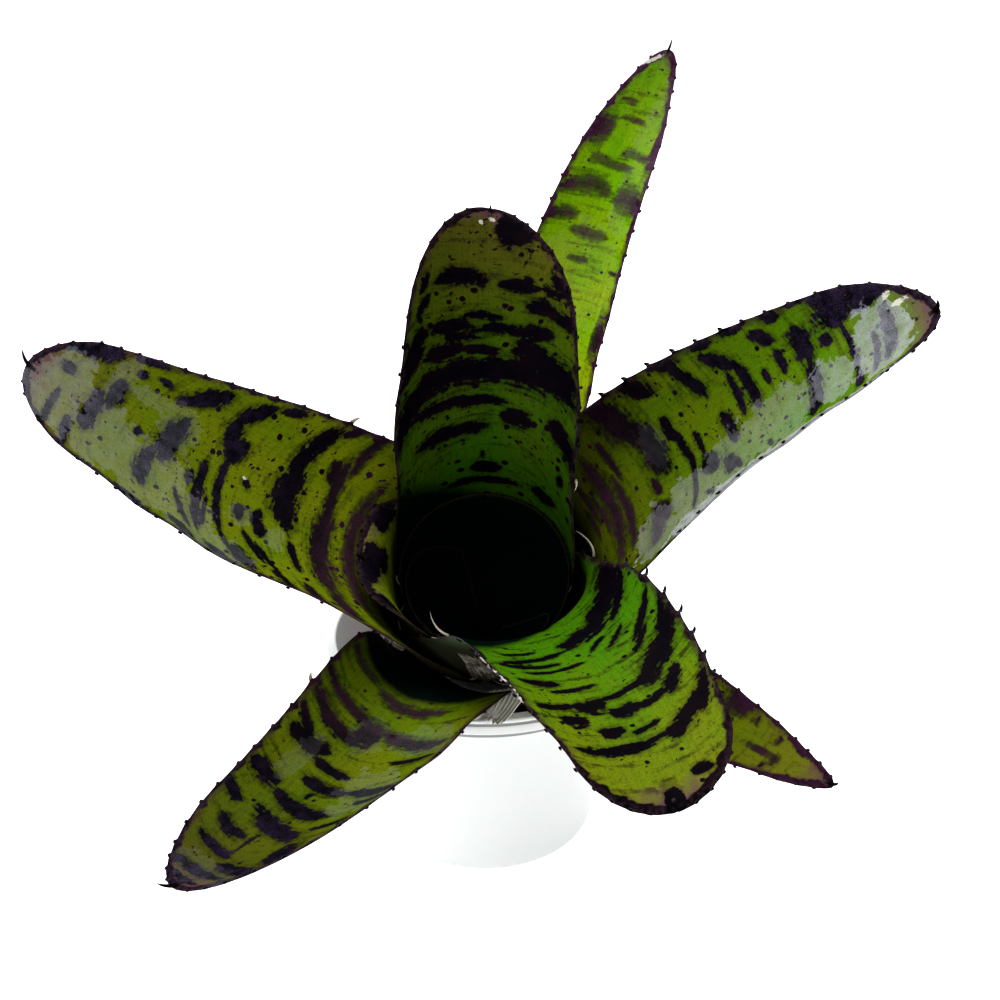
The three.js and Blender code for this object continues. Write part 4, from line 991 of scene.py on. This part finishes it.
def skin_values(leaf, s, u, to_edge):
    """What the material reads on one face, three values a name. place: across (moved on for each leaf),
    along, distance to the margin. marks: fields of the bands, the film and the dry tissue. tone: height
    above the painted shade of the tank, distance to the tip, and along with the streaks' arch added. habit:
    warmth, shade, partly painted shade, and light, partly painted light and shade. growth: streaks, flecks
    and strength of the film. age: fading of the bands, width of the dark margin, blush of the tip."""
    share = s / leaf["length"]
    middle, rise, drop, sharpness = leaf["deep"]
    film, film_strength = patch_field(u, s, leaf["film"])
    full = np.ones_like(s)
    return {
        "place": [u + 200 * leaf["rank"], s, to_edge],
        "marks": [stroke_field(u, s, leaf["marks"]), film, stroke_field(u, s, leaf["pale"])],
        "tone": [(s - (middle + rise * u - drop * u ** 2 / 100)) * sharpness, leaf["length"] - s,
                 s + leaf["arch"] * u ** 2 / 100],
        "habit": [lerp(*leaf["warmth"], share), leaf["shade"] * (1.6 - 1.2 * share),
                  lerp(*leaf["light"], share)],
        "growth": [leaf["streaks"] * full, leaf["flecks"] * full, film_strength],
        "age": [lerp(*leaf["fade"], share), leaf["rim"] * smooth((s - leaf["length"] + 24) / 20),
                leaf["blush"] * full],
    }


def grow(leaf):
    """A living leaf as one closed skin with its thorns, and the attributes that its material reads:
    those of skin_values, which a thorn takes from the margin at its root, and kind. kind: 1 on the upper
    face, share of a thorn's length, and nearness to a spine or, on a thorn, 1 if it is long."""
    trace_midrib(leaf)
    blade = np.arange(0, leaf["length"] - leaf["endLength"], ROW_STEP)
    # rows crowd towards the tip, and the spines are spaced along a margin with a few rows more there
    turns = np.linspace(0, np.pi / 2, END_ROWS + 1)[:-1], np.linspace(1.54, np.pi / 2, 12)
    end, last = (leaf["length"] - leaf["endLength"] * (1 - np.sin(turn)) for turn in turns)
    along = np.concatenate([blade, end])
    places, sides, lengths = margin_spines(leaf, np.concatenate([along, last]))
    rings, s, u, to_edge = flesh_rings(leaf, along, places, sides, lengths)
    margin_rings, apex_rings = thorn_rings(leaf, places, sides, lengths)
    vertices, polygons, counts = joined([tubes(rings), tubes(margin_rings), tubes(apex_rings)])

    on_skin, thorns = counts[0] - 2, len(places) + 1
    thorn = np.append(np.repeat(np.linspace(0.15, 1, SPINE_ROWS), SPINE_SIDES), [0.15, 1])
    rows = np.searchsorted(along, places).clip(0, len(along) - 1)
    columns = np.where(sides < 0, 0, COLUMNS - 1)
    attributes = {}
    for key, values in skin_values(leaf, s, u, to_edge).items():
        face = np.stack(values, axis=-1)
        both = np.concatenate([face, face[:, ::-1]], axis=1).reshape(-1, 3)
        roots = np.concatenate([face[rows, columns], face[-1:, COLUMNS // 2]])
        attributes[key] = np.concatenate([both, both[[0, -1]], np.repeat(roots, len(thorn), axis=0)])
    near = by_side(np.abs(s[:, :1] - places[sides == side]).min(axis=1) for side in (-1, 1))
    near = np.clip(1 - near / SPINE_BLOTCH, 0, 1)
    kind = np.zeros((len(vertices), 3))
    kind[:on_skin, 0] = np.tile(np.repeat([1, 0], COLUMNS), len(along))
    kind[:on_skin, 2] = np.concatenate([near, near[:, ::-1]], axis=1).ravel()
    kind[counts[0]:, 1] = np.tile(thorn, thorns)
    kind[counts[0]:, 2] = np.repeat(np.append(lengths > 2 * leaf["spineLength"], False), len(thorn))
    return vertices, polygons, attributes | {"kind": kind}


def banded_leaf(name, thorn_colour):
    """Living neoregelia leaf: a waxy skin, yellow-green to olive, with painted shade that turns it near black
    deep in the tank.
    Bands, blots, flecks and dots of purple-black pigment cross it, with darker green round them and
    fainter streaks between; the margin is dark and the tip mauve. Dull scales whiten ragged patches of
    it and, more thinly, the whole underside."""
    material, add = new_material(name)
    channels = [add("SeparateXYZ", [add("Attribute", attribute_name=key).outputs["Vector"]]).outputs
                for key in ("place", "marks", "tone", "habit", "growth", "age", "kind")]
    (across, along, to_edge), (band_field, film_field, pale_field) = channels[:2]
    (above_tank, to_tip, arched), (warmth, shade, light) = channels[2:4]
    (streakiness, fleckiness, film_strength), (fade, rim_width, blush) = channels[4:6]
    upper, thorn_share, near_spine = channels[6]
    flat = add("CombineXYZ", [across, along])
    bent = add("CombineXYZ", [across, arched])
    # noises from -1 to 1: name, place, size of the features in millimetres across and along, detail
    noise = {}
    for key, where, size_across, size_along, detail in (
            ("wide", flat, 16, 22, 2), ("middle", flat, 4, 3.2, 2), ("small", flat, 1.3, 1.6, 2),
            ("brush", bent, 5, 0.9, 2), ("ribs", flat, 0.65, 24, 2), ("grain", flat, 0.42, 0.42, 1),
            ("streak", bent, 13, 2.3, 3), ("fleck", bent, 2.3, 1.5, 2)):
        stretched = add("Mapping", {"Vector": where, "Scale": (1 / size_across, 1 / size_along, 1)})
        soft = add("TexNoise", {"Vector": stretched, "Scale": 1.0, "Detail": detail, "Roughness": 0.55})
        noise[key] = add("Math", [soft, 4.0, -2.0], operation="MULTIPLY_ADD")

    def roughened(value, **shares):
        """The value with a share of each of the named noises added."""
        for key, share in shares.items():
            value = add("Math", [noise[key], share, value], operation="MULTIPLY_ADD")
        return value

    # bands, and the darker green round them
    edge = roughened(band_field, middle=0.28, brush=0.34, small=0.24)
    halo = add("MapRange", [edge, -0.8, 0.05, 0.0, 0.6])
    soft = add("Math", [fade, 0.6], operation="MULTIPLY", use_clamp=True)
    soft = add("Math", [soft, add("MapRange", [to_edge, 1.0, 6.0])], operation="MULTIPLY")
    start, full, strength = (add("Math", [soft, *line], operation="MULTIPLY_ADD")
                             for line in ((-1.2, -0.06), (2.5, 0.16), (-0.7, 1.0)))
    bands = add("MapRange", [edge, start, full])
    bands = add("Math", [bands, strength], operation="MULTIPLY")
    # faint transverse streaks, and small dark flecks where they crowd
    streaks = add("MapRange", [roughened(noise["streak"], small=0.25), 0.15, 0.8, 0.0, 0.75])
    streaks = add("Math", [streaks, streakiness], operation="MULTIPLY")
    flecks = add("Math", [fleckiness, 0.45, -1.0], operation="MULTIPLY_ADD")
    flecks = add("MapRange", [roughened(flecks, wide=0.25, fleck=1.0), -0.08, 0.1])
    # round dots in some of the cells of a net
    cell = add("Mapping", {"Vector": flat, "Scale": (0.8 / DOT_PITCH, 1 / DOT_PITCH, 1)})
    net = add("TexVoronoi", {"Vector": cell, "Scale": 1.0})
    chance = add("SeparateColor", [net.outputs["Color"]])
    size = add("MapRange", [chance, 0.15, 0.6, -0.02, 0.28])
    size = add("Math", [size, fleckiness], operation="MULTIPLY")
    size = add("Math", [roughened(size, small=0.04), net.outputs["Distance"]], operation="SUBTRACT")
    dots = add("MapRange", [size, -0.03, 0.03])
    # margin: a dark line with a blotch at most spines
    reach = add("Math", [near_spine, 1.5, 0.05], operation="MULTIPLY_ADD")
    reach = add("Math", [rim_width, roughened(reach, middle=1.0)], operation="ADD")
    reach = add("Math", [reach, to_edge], operation="SUBTRACT")
    dark = add("MapRange", [reach, -0.3, 0.3])
    for layer in (bands, flecks, dots):
        dark = add("Math", [dark, layer], operation="MAXIMUM")

    # flesh between the bands, from the layer below to the one on top
    warm = roughened(warmth, wide=0.3, small=0.12)
    rib = add("MapRange", [noise["ribs"], -0.4, 1.0, 0.0, 0.25])
    speck = add("MapRange", [noise["small"], 0.1, 0.9, 0.0, 0.35])
    flesh = linear(LEAF_GREEN)
    # the shade layer mixes in a deeper green, partly the leaf's own and partly painted shade
    for share, tint in ((warm, LEAF_YELLOW), (rib, LEAF_OLIVE), (speck, LEAF_OLIVE),
                        (streaks, STREAK_BROWN), (halo, HALO_OLIVE), (shade, DEEP_GREEN_AND_SHADE)):
        flesh = add("Mix", {0: share, 6: flesh, 7: linear(tint)}, data_type="RGBA")
    # painted light and shade: the flesh scaled brighter or darker by the leaf's light factor, with a random
    # grain
    mottle = add("Math", [roughened(1.0, grain=0.22), light], operation="MULTIPLY")
    flesh = add("VectorMath", {0: flesh, 3: mottle}, operation="SCALE")
    # mauve along the margin and at the tip, a brown blush behind it, and wear on the dark margin
    rim = add("MapRange", [roughened(to_edge, middle=1.2), *RIM, 0.0, 0.7])
    tip = roughened(to_tip, middle=2.0, wide=2.0)
    tip = add("Math", [blush, -5.0, tip], operation="MULTIPLY_ADD")
    tip = add("MapRange", [tip, *TIP, 0.0, 0.85])
    far = add("MapRange", [roughened(to_tip, middle=3.0), *BLUSH])
    for share in (add("MapRange", [rim, 0.0, 0.7, 0.25, 1.0]), blush):
        far = add("Math", [far, share], operation="MULTIPLY")
    worn = add("MapRange", [roughened(noise["middle"], small=0.8), -0.4, 1.6])
    worn = add("Math", [worn, add("MapRange", [rim, 0.0, 0.7, 0.0, 0.9])], operation="MULTIPLY")
    # navy to maroon pigment, purple-brown where it has faded and slate where it has a bloom
    pigment = add("Math", [edge, -0.7, roughened(noise["middle"], wide=0.7, grain=0.6)],
                  operation="MULTIPLY_ADD")
    pigment = add("MapRange", [pigment, -1.0, 0.9])
    pigment = add("Mix", {0: pigment, 6: linear(BAND_NAVY), 7: linear(BAND_MAROON)}, data_type="RGBA")
    bloom = roughened(noise["middle"], grain=0.9, wide=0.6)
    for sign, none, all_over, tint in ((1.6, -1.6, 0.6, BAND_FADED), (-1.0, -0.5, 1.3, BAND_SLATE)):
        share = add("Math", [fade, sign], operation="MULTIPLY", use_clamp=True)
        share = add("Math", [share, add("MapRange", [bloom, none, all_over])], operation="MULTIPLY")
        pigment = add("Mix", {0: share, 6: pigment, 7: linear(tint)}, data_type="RGBA")
    # film of scales: ragged sharp-edged patches above, thinner over the bands, and an even veil below
    flake = add("Mapping", {"Vector": flat, "Scale": (1 / FLAKE_SIZE, 1.4 / FLAKE_SIZE, 1)})
    flake = add("TexVoronoi", {"Vector": flake, "Scale": 1.0})
    flake = add("SeparateColor", [flake.outputs["Color"]])
    film = add("Math", [flake, 0.3, film_field], operation="MULTIPLY_ADD")
    film = add("MapRange", [roughened(film, middle=0.22, wide=0.25), 0.13, 0.19])
    veil = add("MapRange", [roughened(noise["middle"], grain=0.9), -1.4, 1.4, 0.45, 1.35])
    for share in (film_strength, film, add("MapRange", [dark, 0.0, 1.0, 1.0, 0.7])):
        veil = add("Math", [veil, share], operation="MULTIPLY")
    veil = add("Math", [veil, add("MapRange", [upper, 0.0, 1.0, 0.3, 0.0])], operation="MAXIMUM")
    pale = add("MapRange", [roughened(pale_field, small=0.7), 0.0, 0.35, 0.0, 0.85])
    # painted shade of the tank: dark green to near black, on the upper face alone; the outside of the sheath
    # is brown
    dusk = add("MapRange", [roughened(above_tank, middle=1.0), *DUSK])
    night = add("MapRange", [above_tank, *NIGHT])
    dusk, night = (add("Math", [deep, upper], operation="MULTIPLY") for deep in (dusk, night))
    old = add("MapRange", [along, *OLD_SHEATH, 0.0, 0.9])
    old = add("Math", [old, upper], operation="SUBTRACT", use_clamp=True)
    # a thin dry rim on the sheath
    dry = add("MapRange", [to_edge, *SEAM])
    dry = add("Math", [dry, add("MapRange", [along, *DRY_SHEATH, 0.0, 0.4])], operation="MULTIPLY")
    # thorns: dark, and pale where they are long
    thorn = add("Mix", {0: near_spine, 6: linear(SPINE_DARK), 7: linear(thorn_colour)}, data_type="RGBA")
    on_thorn = add("MapRange", [thorn_share, 0.0, 0.4])
    colour = flesh
    for share, tint in ((far, linear(BLUSH_BROWN)), (rim, linear(RIM_BROWN)), (tip, linear(TIP_MAUVE)),
                        (dark, pigment), (worn, linear(MARGIN_MAUVE)), (veil, linear(FILM_GREY)),
                        (pale, linear(DRY_WHITE)), (old, linear(SHEATH_BROWN)),
                        (dusk, linear(TANK_SHADE_GREEN)), (night, linear(TANK_SHADE_BLACK)),
                        (dry, linear(RIM_TAN)), (on_thorn, thorn)):
        colour = add("Mix", {0: share, 6: colour, 7: tint}, data_type="RGBA")
    bump = add("Bump", {"Height": roughened(noise["ribs"], grain=0.3), "Strength": 0.22,
                        "Distance": 0.12 * MM})
    shader = add("BsdfPrincipled", {
        "Base Color": colour, "Roughness": add("MapRange", [veil, 0.0, 0.3, 0.58, 0.75]),
        "Specular IOR Level": 0.03, "Normal": bump})
    add("OutputMaterial", [shader])
    return material


banded_skin = banded_leaf("banded_leaf", SPINE_PALE)
for leaf in LEAVES:
    leaf_vertices, leaf_faces, leaf_attributes = grow(leaf)
    blade_piece = new_piece(leaf["name"] + "_blade", leaf_vertices, leaf_faces,
                            banded_skin, leaf_attributes, 60)
    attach(blade_piece, "root")
    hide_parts(leaf["name"])

# ---- Young leaves ----
# The two youngest leaves, still rolled up at the heart of the plant, painted dark green to black as the
# shade deep in the tank, with small hooks, painted dark as well, and a pale line on their rims.
# values shared by the rolled leaves; their shade of 0.9 is painted shade of the tank
ROLLED = dict(wrap=120, spread=5, droop=3, swing=0, twist=0, taper=0.9, spineLength=1, apex=1.5, arch=0,
              shade=0.9, warmth=(0.2, 0.2), light=(1, 1), streaks=0.5, flecks=0, fade=(0, 0), rim=0, blush=0,
              film=[])
YOUNG_LEAVES = [
    dict(ROLLED, name="young_leaf_outer", rank=10, azimuth=92, length=39.5, width=60, bendStart=30,
         bendLength=10, channelNear=25, channelFar=25, endLength=18, deep=(46, 0, 0, 1),
         marks=[(-14, 30, 14, 30, 0, 1)], pale=[(14, 36, 30, 31, 0, 0.2)]),
    dict(ROLLED, name="young_leaf_inner", rank=11, azimuth=230, length=30, width=56, bendStart=22,
         bendLength=8, channelNear=23, channelFar=23, endLength=16, deep=(38, 0, 0, 1),
         marks=[(-10, 22, 10, 22, 0, 1)], pale=[(12, 27, 26, 22, 0, 0.2)]),
]
# painted shade: the hooks take the dark spine colour in the shade of the tank
young_skin = banded_leaf("young_leaf_skin", SPINE_DARK)
for leaf in YOUNG_LEAVES:
    leaf_vertices, leaf_faces, leaf_attributes = grow(leaf)
    young_piece = new_piece(leaf["name"] + "_roll", leaf_vertices, leaf_faces,
                            young_skin, leaf_attributes, 60)
    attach(young_piece, "root")
    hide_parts(leaf["name"])

# ---- Studio ----
# A pale floor that runs out of sight, a large soft light above and behind, a weak fill, and the
# camera, which looks down on the open tank from in front.
FLOOR_SIZE = 40
FLOOR_WHITE = "#fbfbfb"
FLOOR_GLOW_REACH = (0.2, 1.0)
FLOOR_GLOW = (0.6, 0.85)
WORLD_STRENGTH = 0.4
EXPOSURE, GAMMA = 0.15, 0.82
# lamps: name, place, the point it faces, side in metres, watts
LAMPS = [("top_light", (-0.25, 0.45, 1.3), (0, 0, 0.1), 1.2, 22),
         ("front_fill", (-0.95, -0.95, 0.35), (0, 0, 0.05), 0.8, 3.8)]
CAMERA_PLACE = (0.0044, -0.3497, 0.2768)
CAMERA_TILT = np.radians(64.6)
CAMERA_LENS = 46.8


def floor_paint():
    """Matte white studio floor. It has a light of its own, stronger away from the pot, so that it stays
    white as far as it goes."""
    material, add = new_material("studio_floor")
    place = add("TexCoord").outputs["Object"]
    away = add("VectorMath", [place], operation="LENGTH")
    glow = add("MapRange", [away, *FLOOR_GLOW_REACH, *FLOOR_GLOW])
    matte = add("BsdfPrincipled", {
        "Base Color": linear(FLOOR_WHITE), "Roughness": 0.9, "Specular IOR Level": 0.2,
        "Emission Color": linear(FLOOR_WHITE), "Emission Strength": glow})
    add("OutputMaterial", [matte])
    return material


floor_corners = np.array([(-1, -1, 0), (1, -1, 0), (1, 1, 0), (-1, 1, 0)]) * FLOOR_SIZE / 2 / MM
floor = new_piece("floor", floor_corners, [[0, 1, 2, 3]], floor_paint())

world = bpy.data.worlds.new("studio")
world.use_nodes = True
sky = world.node_tree.nodes["Background"].inputs
sky["Color"].default_value = (1, 1, 1, 1)
sky["Strength"].default_value = WORLD_STRENGTH
bpy.context.scene.world = world
view = bpy.context.scene.view_settings
view.view_transform, view.exposure, view.gamma = "Standard", EXPOSURE, GAMMA
for name, place, aim, size, power in LAMPS:
    lamp = bpy.data.objects.new(name, bpy.data.lights.new(name, "AREA"))
    lamp.data.size, lamp.data.energy = size, power
    back = unit(np.array(place) - np.array(aim))
    lamp.location = place
    lamp.rotation_euler = (np.arccos(back[2]), 0, np.arctan2(back[0], -back[1]))
    bpy.context.scene.collection.objects.link(lamp)
camera = bpy.data.objects.new("camera", bpy.data.cameras.new("camera"))
camera.data.lens = CAMERA_LENS
camera.data.clip_start = 0.01
camera.location = CAMERA_PLACE
camera.rotation_euler = (CAMERA_TILT, 0, 0)
bpy.context.scene.collection.objects.link(camera)
bpy.context.scene.camera = camera
